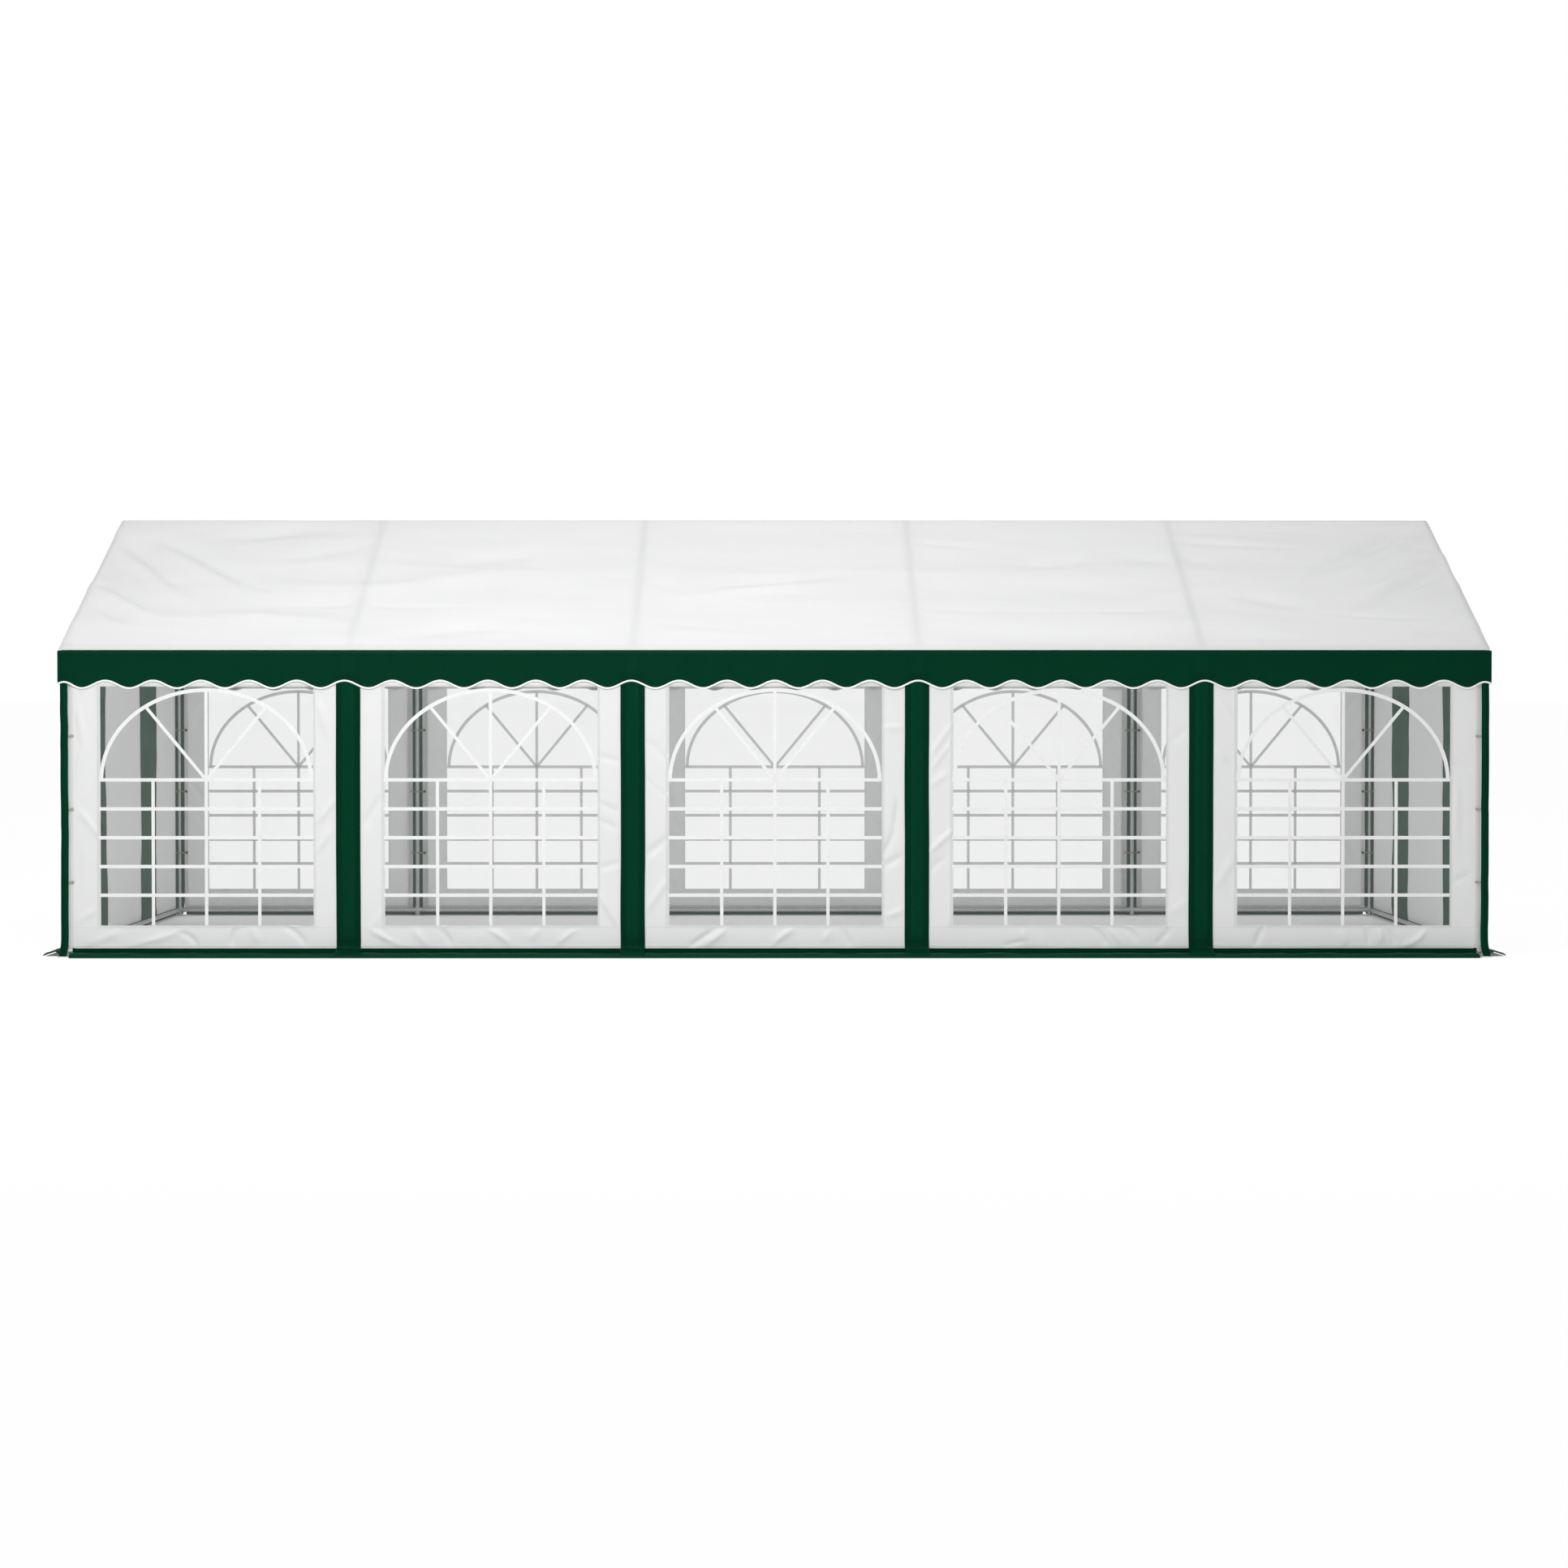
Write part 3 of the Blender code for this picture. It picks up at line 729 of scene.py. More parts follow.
# %% Roof sheet
ridge_lines = [0.006, 0.012, 0.019, 0.028, 0.040, 0.055]
half_down = spread(0.075, ROOF_EDGE, ROOF_SPACING, [ROOF_EDGE - ROOF_HEM])
half_down = np.concatenate([ridge_lines, half_down])
roof_down = np.concatenate([-half_down[::-1], [0.0], half_down])
roll_lines = ROOF_END - ROLL + ROLL * np.linspace(0.2, math.pi / 2, 6)
band_edges = [post + turn * BAND_HALF for post in POST_X[1:-1] for turn in (-1, 1)]
roof_across = spread(-(ROOF_END - ROLL), ROOF_END - ROLL, ROOF_SPACING, band_edges)
end_lines = ROOF_END - np.array([0.078, 0.064, 0.050, 0.042, 0.034, 0.026, 0.018])
roof_across = np.unique(np.concatenate([roof_across, end_lines, -end_lines]))
roof_across = np.concatenate([-roll_lines[::-1], roof_across, roll_lines])

under_roof = partial(roof_place, layer=LAYER)
roof_parts = [sheet_part(roof_across, roof_down, roof_place)]
for post in POST_X[1:-1]:
    band_lines = np.linspace(post - BAND_HALF, post + BAND_HALF, 5)
    roof_parts.append(sheet_part(band_lines, roof_down[2:-2], under_roof))
for low, high in ((-ROOF_EDGE, -ROOF_EDGE + ROOF_HEM), (ROOF_EDGE - ROOF_HEM, ROOF_EDGE)):
    roof_parts.append(sheet_part(roof_across[8:-8], np.linspace(low, high, 4), under_roof))
roof = piece("roof_sheet", roof_parts, WHITE, ["roof_cover"])

# %% [markdown]
# ## The valance and its piping
#
# The valance is the green band that hangs from the roof's edge. Its lower edge is cut in scallops,
# and a white piping is folded over the cut so that it can't fray. The edge is a formula, a
# wave that drops further between its crests, and the sheet stops exactly on it. The piping then
# follows the same line.

# %% Valance edges
SCALLOPS = 30
CREST_DROP = 0.2205
TROUGH_DROP = 0.274
END_CREST_DROP = 0.230
LAST_TROUGH = 14.5
END_WAVE = 1.454
GABLE_PITCH = 0.325
PIPING_WIDTH = 0.012
VALANCE_TOP = EAVE_TOP - 0.003
EDGE_LAP = 0.002
SCALLOP_STEPS = {"front": 24, "back": 14}


def wave(share):
    """The drop below the eave at a share of a scallop away from a crest."""
    middle = (CREST_DROP + TROUGH_DROP) / 2
    return middle - (TROUGH_DROP - CREST_DROP) / 2 * np.cos(2 * math.pi * share)


def long_drop(x):
    """Scallops along a long side, with a small crest where the valance turns the corner."""
    last = LAST_TROUGH * 2 * ROOF_END / SCALLOPS
    share = (abs(x) - last) / (ROOF_END - last)
    dip = (TROUGH_DROP - END_CREST_DROP) / 2
    turned = TROUGH_DROP - dip * (1 - np.cos(2 * math.pi * share / END_WAVE))
    return np.where(abs(x) <= last, wave(x * SCALLOPS / (2 * ROOF_END)), turned)


def flutter(along, hang, seed):
    """A hanging edge waves a little more the lower it is."""
    return 0.0028 * swell(along, hang, 0.42, 0.9, seed) * fade(hang, 0.2)


def make_valance(where, stations, shares, place, bead_edge, bead_lift, bead_place, turn):
    """A valance and the piping along its lower edge."""
    band = sheet_part(stations, shares, place, turn=turn)
    valance = piece(f"valance_sheet_{where}", [band], GREEN, [f"valance_{where}"])
    edge = np.stack([stations, bead_edge + PIPING_WIDTH / 2], axis=-1)
    bead = sweep_part(edge, ring_of(10, PIPING_WIDTH / 2, bead_lift), bead_place)
    piping = piece(f"piping_{where}", [bead], PIPING, solid=True)
    print(valance.name, len(valance.data.polygons), "faces")
    return valance, piping


# %% Long valances
TOP_FOLD = 0.017


def long_valance_point(sign, x, z, lift=0.0):
    """A point on a long valance. Just under the eave it is pinched in by its weld."""
    hang = VALANCE_TOP - z
    weld = -0.0026 * (1 - fade(hang, TOP_FOLD)) + 0.0024 * np.exp(-(((hang - 0.022) / 0.006) ** 2))
    out = VALANCE + weld + flutter(x, hang, 7 + sign) + lift
    return x, sign * (HALF_WIDTH + out), z


shares = np.concatenate([np.linspace(0, 0.17, 17), np.linspace(0.21, 1, 11)])
for side, sign in SIDES.items():
    def long_place(x, share):
        edge = EAVE_TOP - long_drop(x) + EDGE_LAP
        return long_valance_point(sign, x, VALANCE_TOP - share * (VALANCE_TOP - edge))

    stations = np.linspace(-ROOF_END, ROOF_END, SCALLOPS * SCALLOP_STEPS[side] + 1)
    valance, piping = make_valance(
        side, stations, shares, long_place, EAVE_TOP - long_drop(stations), 0.0022,
        partial(long_valance_point, sign), turn=sign < 0,
    )

# %% [markdown]
# The gable valances follow the two rakes. They hang in the same way, so only the line of the top
# edge is different.

# %% Gable valances
GABLE_REACH = HALF_WIDTH + 0.0309
GABLE_TUCK = 0.027


def gable_valance_point(sign, y, z, lift=0.0):
    """A point on a gable valance."""
    hang = roof_height(y) - z
    out = GABLE_VALANCE - 0.0012 + rake_step(y) + flutter(y + 9, hang, 12 + sign) * 0.7 + lift
    return sign * (HALF_LENGTH + out), y, z


for end, sign in ENDS.items():
    def gable_place(y, share):
        top = roof_height(y) - GABLE_TUCK
        edge = roof_height(y) - wave(y / GABLE_PITCH) + EDGE_LAP
        return gable_valance_point(sign, y, top - share * (top - edge))

    stations = np.linspace(-GABLE_REACH, GABLE_REACH, 16 * 24 + 1)
    valance, piping = make_valance(
        end, stations, np.linspace(0, 1, 14), gable_place,
        roof_height(stations) - wave(stations / GABLE_PITCH), 0.0019,
        partial(gable_valance_point, sign), turn=sign > 0,
    )

# %% [markdown]
# ## The window walls
#
# Each bay has one white panel. A clear film is welded over its window, and white bars are welded on
# the film. All three must move together, so one function gives the folds of a bay, and the panel,
# the film and the bars each sit a fraction of a millimetre further out. The folds run diagonally
# beside the window and as drapes in the band below it.

# %% Folds of the long walls
PANEL_HALF = (POST_X[1] - POST_X[0]) / 2 - 0.041
PANEL_TOP = 2.13
WINDOW_HALF = 0.7525
WINDOW_BOTTOM = 0.223
WINDOW_TOP = 1.903
PANEL_HEM = 0.030
CORNER_TUCK = 0.013
CORNER_DROP = 0.012
WALL_FOLD_DEPTH = 2.6
# Folds by bay: x and z of both ends, half width and height
PANEL_FOLDS = {
    1: [
        (-0.91, 1.78, -0.85, 1.45, 0.022, 0.005), (-0.86, 1.50, -0.94, 1.20, 0.022, 0.004),
        (-0.90, 1.04, -0.74, 0.84, 0.020, 0.005), (-0.90, 0.80, -0.92, 0.40, 0.030, -0.006),
        (-0.95, 0.22, -0.76, 0.35, 0.025, 0.003), (0.78, 1.83, 0.86, 1.55, 0.026, 0.006),
        (0.76, 0.93, 0.93, 1.14, 0.022, 0.005), (0.76, 0.72, 0.88, 0.90, 0.022, 0.004),
    ],
    2: [
        (-0.91, 0.90, -0.74, 1.16, 0.030, -0.005), (0.76, 1.42, 0.93, 1.37, 0.020, -0.004),
        (0.76, 1.09, 0.92, 1.01, 0.020, -0.004), (0.76, 0.97, 0.90, 0.90, 0.018, -0.004),
        (0.76, 0.62, 0.92, 0.67, 0.020, -0.004), (0.76, 0.46, 0.91, 0.20, 0.020, 0.006),
        (-0.83, 0.20, -0.75, 0.34, 0.022, 0.003),
    ],
    3: [
        (-0.92, 1.55, -0.74, 1.37, 0.022, -0.004), (-0.93, 1.28, -0.75, 1.11, 0.014, -0.003),
        (-0.92, 0.70, -0.74, 0.85, 0.026, -0.005), (-0.92, 0.30, -0.75, 0.56, 0.022, 0.005),
        (0.76, 1.62, 0.93, 1.61, 0.020, 0.004), (0.87, 1.12, 0.84, 0.88, 0.020, -0.006),
        (0.85, 0.90, 0.76, 0.70, 0.020, -0.006), (0.76, 0.63, 0.92, 0.73, 0.022, -0.005),
        (0.78, 0.28, 0.92, 0.34, 0.022, 0.004),
    ],
    4: [
        (-0.92, 1.40, -0.74, 1.66, 0.018, 0.004), (-0.93, 1.28, -0.75, 1.52, 0.014, 0.003),
        (-0.92, 1.20, -0.78, 1.30, 0.024, 0.004), (-0.93, 0.72, -0.74, 0.90, 0.020, 0.006),
        (-0.93, 0.60, -0.80, 0.70, 0.022, -0.004), (-0.93, 0.50, -0.84, 0.24, 0.014, -0.003),
        (0.78, 1.50, 0.92, 1.62, 0.030, -0.003), (0.78, 0.30, 0.92, 0.40, 0.030, 0.003),
    ],
    5: [
        (-0.89, 1.84, -0.76, 1.66, 0.020, 0.004), (-0.90, 1.48, -0.82, 1.37, 0.024, 0.004),
        (-0.90, 0.48, -0.76, 0.72, 0.030, 0.004), (0.76, 1.40, 0.93, 1.31, 0.022, -0.004),
        (0.80, 1.25, 0.80, 0.80, 0.022, 0.004), (0.76, 0.52, 0.93, 0.60, 0.022, -0.005),
    ],
}
# Drapes in the band under the window, with a bow to one side
BAND_FOLDS = {
    1: [
        (-0.20, 0.18, -0.06, 0.07, 0.016, -0.005, 0.02), (0.24, 0.22, 0.18, 0.07, 0.018, -0.005, -0.02),
        (0.32, 0.22, 0.36, 0.10, 0.030, 0.004, 0.0), (0.54, 0.22, 0.70, 0.08, 0.018, -0.005, 0.02),
        (-0.55, 0.08, -0.16, 0.19, 0.022, 0.004, -0.01), (-0.86, 0.08, -0.60, 0.18, 0.026, 0.003, 0.0),
    ],
    2: [
        (-0.86, 0.20, -0.56, 0.07, 0.020, 0.006, -0.01), (-0.76, 0.17, -0.58, 0.08, 0.016, -0.004, -0.01),
        (-0.54, 0.20, -0.45, 0.08, 0.020, 0.004, 0.0), (-0.36, 0.20, -0.28, 0.08, 0.018, -0.006, 0.01),
        (-0.02, 0.20, 0.14, 0.08, 0.018, 0.005, 0.01), (0.34, 0.21, 0.28, 0.12, 0.026, 0.004, 0.0),
        (0.46, 0.08, 0.62, 0.20, 0.018, 0.004, 0.01),
    ],
    3: [
        (-0.60, 0.07, -0.42, 0.20, 0.018, -0.006, 0.0), (-0.50, 0.07, -0.34, 0.20, 0.022, 0.005, 0.0),
        (-0.02, 0.08, 0.14, 0.20, 0.022, 0.005, 0.01), (0.40, 0.20, 0.34, 0.10, 0.020, 0.003, 0.0),
        (0.48, 0.20, 0.54, 0.07, 0.016, -0.004, 0.0),
    ],
    4: [
        (-0.40, 0.08, -0.20, 0.12, 0.014, -0.004, 0.0), (-0.26, 0.20, -0.22, 0.08, 0.022, 0.004, 0.0),
        (0.24, 0.21, 0.34, 0.08, 0.018, -0.006, 0.01), (0.34, 0.21, 0.44, 0.10, 0.012, 0.004, 0.0),
        (0.44, 0.21, 0.56, 0.10, 0.018, -0.005, 0.02), (0.68, 0.08, 0.80, 0.21, 0.020, -0.004, 0.0),
    ],
    5: [
        (-0.56, 0.22, -0.62, 0.07, 0.020, -0.006, 0.0), (-0.02, 0.20, 0.03, 0.08, 0.026, 0.004, 0.0),
        (0.17, 0.21, 0.19, 0.08, 0.020, -0.005, 0.0), (0.25, 0.21, 0.27, 0.10, 0.018, 0.005, 0.01),
        (0.31, 0.20, 0.37, 0.09, 0.016, -0.005, 0.01), (0.60, 0.20, 0.42, 0.07, 0.022, 0.006, 0.02),
    ],
}
beside = sum(len(folds) for folds in PANEL_FOLDS.values())
below = sum(len(folds) for folds in BAND_FOLDS.values())
print(beside, "folds beside the windows,", below, "drapes below them")

# %% [markdown]
# A panel is tight where it is held, at its edges and round the window, and slack between. The back
# walls use the same folds mirrored, because they are the same panels seen from the other side.

# %% Wall surface
def wall_push(side, number, x, z):
    """How far a bay's panel stands out from flat, at x from the bay's middle and z."""
    settled = fade(PANEL_HALF - abs(x), 0.09) * fade(z - PANEL_BOTTOM + 0.02, 0.06) * fade(PANEL_TOP - z, 0.2)
    edge = np.maximum(abs(x) - WINDOW_HALF, np.maximum(WINDOW_BOTTOM - z, z - WINDOW_TOP))
    loose = 0.25 + 0.75 * fade(edge + 0.04, 0.06)
    mirror = 1 if side == "front" else -1
    push = 0.0030 * swell(x + 7 * number, z, 0.34, 0.52, 21 + mirror)
    push = push + 0.0014 * swell(x + 5 * number + z, z - x, 0.13, 0.16, 31 + mirror)
    folds = [(*fold, 0.0) for fold in PANEL_FOLDS[number]] + BAND_FOLDS[number]
    for *ends, width, height, bow in folds:
        push = push + crease(mirror * x, z, ends, width, height * WALL_FOLD_DEPTH, bow)
    return settled * loose * push


def wall_point(side, number, x, z, lift=0.0):
    """A point on a bay's panel or on what is welded to it."""
    out = WALL + wall_push(side, number, x, z) + lift
    outer_edge = {1: -1, 5: 1}.get(number, 0) if side == "front" else 0
    if outer_edge:
        out = out - CORNER_DROP * (1 - fade(PANEL_HALF + CORNER_TUCK - outer_edge * x, 0.055))
    return BAY_X[number - 1] + x, SIDES[side] * (HALF_WIDTH + out), z


# %% [markdown]
# The panel's edges are folded under as hems, the window has a narrow border, and one seam runs across
# at the window's sill. On the outside these are steps of less than a millimetre. From the room the
# hems show much better, as darker bands, because two layers let less daylight through. At the front
# corners the panel reaches further and bends back a little, so that it ends under the corner strip.

# %% Wall panels
WELD = 0.020
SILL_SEAM = 0.216
SEAM_HALF = 0.004
FOOT_HEM = PANEL_HEM * 0.8
PANEL_SPACING = 0.0135
HEM_STEP = 0.0007
BORDER_STEP = 0.0005
FOLDED_UNDER = 0.0006
FRONT_BORDER = 0.010


def window_left(side):
    """A front window starts a little further in on its left."""
    return -WINDOW_HALF + (FRONT_BORDER if side == "front" else 0.0)


def hemmed(x, z):
    """The extra thickness of hems, window border and sill seam."""
    sides = rise(abs(x), PANEL_HALF - PANEL_HEM)
    ends = np.maximum(1 - rise(z, PANEL_BOTTOM + FOOT_HEM), rise(z, PANEL_TOP - PANEL_HEM))
    border = 1 - rise(abs(x), WINDOW_HALF + WELD)
    border = border * rise(z, WINDOW_BOTTOM - WELD) * (1 - rise(z, WINDOW_TOP + WELD))
    seam = 1 - rise(abs(z - SILL_SEAM), SEAM_HALF)
    return HEM_STEP * np.maximum(sides, ends) + BORDER_STEP * np.maximum(border, seam)


side_steps = [turn * edge for turn in (-1, 1) for edge in (PANEL_HALF - PANEL_HEM, WINDOW_HALF + WELD)]
panel_down = spread(
    PANEL_BOTTOM, PANEL_TOP, PANEL_SPACING,
    [PANEL_BOTTOM + FOOT_HEM, PANEL_TOP - PANEL_HEM, WINDOW_BOTTOM - WELD, WINDOW_BOTTOM,
     WINDOW_TOP, WINDOW_TOP + WELD, SILL_SEAM - SEAM_HALF, SILL_SEAM + SEAM_HALF],
)
for side, sign in SIDES.items():
    for number in BAYS:
        def panel_place(x, z):
            return wall_point(side, number, x, z, hemmed(x, z))

        def beside_window(x, z):
            return (x < window_left(side)) | (x > WINDOW_HALF) | (z < WINDOW_BOTTOM) | (z > WINDOW_TOP)

        left, right = -PANEL_HALF, PANEL_HALF
        if side == "front" and number == 1:
            left -= CORNER_TUCK
        if side == "front" and number == 5:
            right += CORNER_TUCK
        across = spread(left, right, PANEL_SPACING, side_steps + [window_left(side), WINDOW_HALF])
        parts = [sheet_part(across, panel_down, panel_place, keep=beside_window, turn=sign > 0)]
        tall = spread(PANEL_BOTTOM, PANEL_TOP, 0.03)
        hems = [
            (spread(left, -PANEL_HALF + PANEL_HEM, 0.01), tall),
            (spread(PANEL_HALF - PANEL_HEM, right, 0.01), tall),
            (spread(-PANEL_HALF + PANEL_HEM, PANEL_HALF - PANEL_HEM, 0.03),
             spread(PANEL_BOTTOM, PANEL_BOTTOM + FOOT_HEM, 0.012)),
        ]
        folded_under = partial(wall_point, side, number, lift=-FOLDED_UNDER)
        parts += [sheet_part(*lines, folded_under, turn=sign > 0) for lines in hems]
        panel = piece(f"wall_sheet_{side}_{number}", parts, WHITE, [f"wall_{side}_{number}"])
        width, height = 2 * PANEL_HALF, PANEL_TOP - PANEL_BOTTOM
        hole = 2 * WINDOW_HALF * (WINDOW_TOP - WINDOW_BOTTOM)
        width * height - hole

# %% [markdown]
# ## Window film and bars
#
# The film laps over the panel by a little less than the panel's border. The bars are flat strips:
# five across, a tall one in the middle, two short ones, an arch and two rays. Where they cross, one
# lies over the other, so each kind has its own thickness.

# %% Film and bars
FILM_MARGIN = 0.016
FILM_LIFT = 0.0012
BAR_WIDTH = 0.024
SPRING = 1.247
CROSS_BARS = [1.247, 1.043, 0.840, 0.637, 0.435]
SIDE_BARS = [-0.374, 0.374]
ARCH_HALF = 0.737
ARCH_RISE = 0.632
RAY_TURN = math.radians(50.5)


def bar_section(width, thickness):
    """A flat strip with slightly rounded shoulders."""
    half, shoulder = width / 2, thickness * 0.4
    low = FILM_LIFT + 0.0002
    return [
        (-half, low), (-half, low + thickness - shoulder), (-half + shoulder, low + thickness),
        (half - shoulder, low + thickness), (half, low + thickness - shoulder), (half, low),
    ]


def run_between(start, end, spacing=0.02):
    """Points along a straight line on the sheet."""
    count = max(2, round(math.dist(start, end) / spacing))
    return np.linspace(start, end, count + 1)


arch_turns = np.linspace(0, math.pi, 73)
arch = np.stack([ARCH_HALF * np.cos(arch_turns), SPRING + ARCH_RISE * np.sin(arch_turns)], axis=-1)
ray = 1 / math.hypot(math.cos(RAY_TURN) / ARCH_HALF, math.sin(RAY_TURN) / ARCH_RISE)
thin = BAR_WIDTH - 0.001
bar_paths = [(run_between((-WINDOW_HALF, z), (WINDOW_HALF, z)), BAR_WIDTH, 0.0012) for z in CROSS_BARS]
bar_paths += [(run_between((x, WINDOW_BOTTOM), (x, SPRING)), thin, 0.0009) for x in SIDE_BARS]
bar_paths += [(run_between((0.0, WINDOW_BOTTOM), (0.0, SPRING + ARCH_RISE)), thin, 0.00095)]
bar_paths += [(arch, BAR_WIDTH + 0.002, 0.0007)]
for turn in (-1, 1):
    tip = (turn * ray * math.cos(RAY_TURN), SPRING + ray * math.sin(RAY_TURN))
    bar_paths += [(run_between((0.0, SPRING), tip), BAR_WIDTH - 0.002, 0.0006 + 0.00005 * turn)]
film_across = spread(-WINDOW_HALF - FILM_MARGIN, WINDOW_HALF + FILM_MARGIN, 0.03)
film_down = spread(WINDOW_BOTTOM - FILM_MARGIN, WINDOW_TOP + FILM_MARGIN, 0.03)

for side, sign in SIDES.items():
    for number in BAYS:
        on_wall = partial(wall_point, side, number)
        part = sheet_part(film_across, film_down, partial(on_wall, lift=FILM_LIFT), turn=sign > 0)
        film = piece(f"window_{side}_{number}", [part], FILM, [f"window_film_{side}"])
        parts = [sweep_part(path, bar_section(width, thick), on_wall) for path, width, thick in bar_paths]
        bars = piece(f"window_bars_{side}_{number}", parts, BAR, solid=True)
print("10 windows,", len(bar_paths), "bars each,", len(bars.data.polygons), "faces of bars")

# %% [markdown]
# ## The skirt
#
# At the foot of each wall a green skirt keeps out wind and rain. It falls to the ground behind the
# hem, lies out over the ground in a low hump, and ends on the ground. The line is a smooth curve
# through a few measured points of the section.

# %% Skirt section
# Distance out from the posts and height of points down the section
SKIRT_POINTS = [
    (0.0225, 0.0625), (0.0188, 0.0500), (0.0182, 0.0300), (0.0200, 0.0120), (0.0290, 0.0040),
    (0.0500, 0.0110), (0.0700, 0.0240), (0.0900, 0.0310), (0.1250, 0.0275), (0.1520, 0.0210),
    (0.1640, 0.0120), (0.1675, 0.0010),
]


def smooth_line(points, steps=6):
    """A smooth curve through points, as dense coordinates and the length so far."""
    points = np.asarray(points, float)
    ends = [2 * points[0] - points[1], 2 * points[-1] - points[-2]]
    p = np.concatenate([[ends[0]], points, [ends[1]]])
    line = []
    for i in range(1, len(p) - 2):
        for t in np.arange(steps) / steps:
            a = 2 * p[i] + (p[i + 1] - p[i - 1]) * t
            b = (2 * p[i - 1] - 5 * p[i] + 4 * p[i + 1] - p[i + 2]) * t * t
            c = (3 * p[i] - p[i - 1] - 3 * p[i + 1] + p[i + 2]) * t**3
            line.append((a + b + c) / 2)
    line = np.array(line + [points[-1]])
    run = np.concatenate([[0], np.cumsum(np.hypot(*np.diff(line, axis=0).T))])
    return line[:, 0], line[:, 1], run


skirt_out, skirt_z, skirt_run = smooth_line(SKIRT_POINTS)
print("skirt is", round(skirt_run[-1], 3), "m from top to free edge")


def skirt_at(along, run, seed):
    """The skirt's out and z at a distance along the wall and down its section, with its ripples."""
    loose = fade(run - 0.04, 0.06)
    shift = 0.0030 * swell(along, 0 * run, 0.13, 1.0, seed) * fade(run, 0.02) * (1 - fade(run - 0.10, 0.05))
    place = np.clip(run + shift, 0, skirt_run[-1])
    out = np.interp(place, skirt_run, skirt_out)
    z = np.interp(place, skirt_run, skirt_z)
    hump = swell(along + 2 * run, run, 0.21, 0.12, seed + 1) * 0.65
    hump = hump + swell(along, run, 0.07, 0.07, seed + 2) * 0.35
    free = swell(along, 0 * run, 0.31, 1.0, seed + 3)
    z = z + 0.0065 * loose * hump * np.clip(z / 0.02, 0, 1)
    return out + 0.0030 * free * fade(run - 0.10, 0.08), np.maximum(z, 0.0005)


# %% Skirts on four sides
SKIRT_SHORT = 0.054
SKIRT_SPACING = {"front": 0.014, "back": 0.028, "left": 0.028, "right": 0.028}
skirt_down = np.linspace(0, skirt_run[-1], 36)
for where, sign in (SIDES | ENDS).items():
    def skirt_place(along, run):
        out, z = skirt_at(along, run, (50 if where in SIDES else 60) + sign)
        if where in SIDES:
            return along, sign * (HALF_WIDTH + out), z
        return sign * (HALF_LENGTH + out), along, z

    reach = (HALF_LENGTH if where in SIDES else HALF_WIDTH) - SKIRT_SHORT
    along = spread(-reach, reach, SKIRT_SPACING[where])
    part = sheet_part(along, skirt_down, skirt_place, turn=(sign < 0) == (where in SIDES))
    skirt = piece(f"skirt_{where}", [part], GREEN, [f"trim_{where}"])
    wall = f"wall_sheet_{where}_1" if where in SIDES else f"gable_sheet_{where}"
    2 * reach
print("4 skirts")

# %% [markdown]
# ## Strips over the posts
#
# Two panels meet behind each inner post strip. The strip hangs from the eave behind the valance,
# swings out over the skirt and drops to the ground. It bulges slightly over the seam between the
# panels, and its two edges are folded under as wide hems, which shows as upright bands of light and
# dark.

# %% Post strips
STRIP_HALF = 0.0855
STRIP_TOP = 2.0
UNDER_VALANCE = 0.12
STRIP_HEM = 0.034
STRIP_LAYER = 0.0014
# Out and height of points down a strip's section, after its long straight run
STRIP_POINTS = [
    (STRIP, STRIP_TOP), (STRIP, 0.30), (STRIP, 0.12), (0.0300, 0.090), (0.0320, 0.072), (0.0400, 0.0600),
    (0.0600, 0.0545), (0.1000, 0.0460), (0.1380, 0.0370), (0.1540, 0.0250), (0.1605, 0.0085),
]
strip_out, strip_z, strip_run = smooth_line(STRIP_POINTS)
strip_across = spread(-STRIP_HALF, STRIP_HALF, 0.0085, [STRIP_HEM - STRIP_HALF, STRIP_HALF - STRIP_HEM])
strip_down = np.concatenate([
    np.linspace(0, STRIP_TOP - 0.14, 94), np.linspace(STRIP_TOP - 0.125, strip_run[-1], 26),
])


def strip_shape(across, run, seed):
    """A strip's out, z and sideways shift at a place across it and down it."""
    out = np.interp(run, strip_run, strip_out)
    z = np.interp(run, strip_run, strip_z)
    hanging = 1 - fade(run - (STRIP_TOP - 0.16), 0.12)
    crown = 0.0040 * (1 - (across / STRIP_HALF) ** 2)
    bands = 0.0036 * swell(across, run + 3 * seed, 0.040, 0.9, seed)
    hems = 0.0006 * rise(abs(across), STRIP_HALF - STRIP_HEM)
    waver = 0.0030 * swell(run, 0 * across, 0.45, 1.0, seed + 5) * fade(run - 0.2, 0.5) * hanging
    foot = 0.0025 * swell(across + seed, run, 0.07, 0.06, seed + 9)
    foot = foot * (1 - hanging) * np.clip(z / 0.02, 0, 1)
    lift = (crown + bands) * hanging * fade(run - UNDER_VALANCE, 0.25) + hems
    return out + lift, z + foot, waver


for side, sign in SIDES.items():
    for number, post in enumerate(POST_X[1:-1], 2):
        def strip_place(across, run):
            out, z, waver = strip_shape(across, run, number + 10 * sign + 80)
            return post + across + waver, sign * (HALF_WIDTH + out), z

        def strip_under(across, run):
            x, y, z = strip_place(across, run)
            return x, y - sign * STRIP_LAYER, z

        parts = [sheet_part(strip_across, strip_down, strip_place, turn=sign < 0)]
        for edge in (-1, 1):
            lines = np.sort(edge * np.linspace(STRIP_HALF - STRIP_HEM, STRIP_HALF, 5))
            parts.append(sheet_part(lines, strip_down[:-20:2], strip_under, turn=sign < 0))
        strip = piece(f"post_strip_{side}_{number}", parts, GREEN, [f"trim_{side}"])
print("8 post strips,", round(strip_run[-1], 3), "m long")

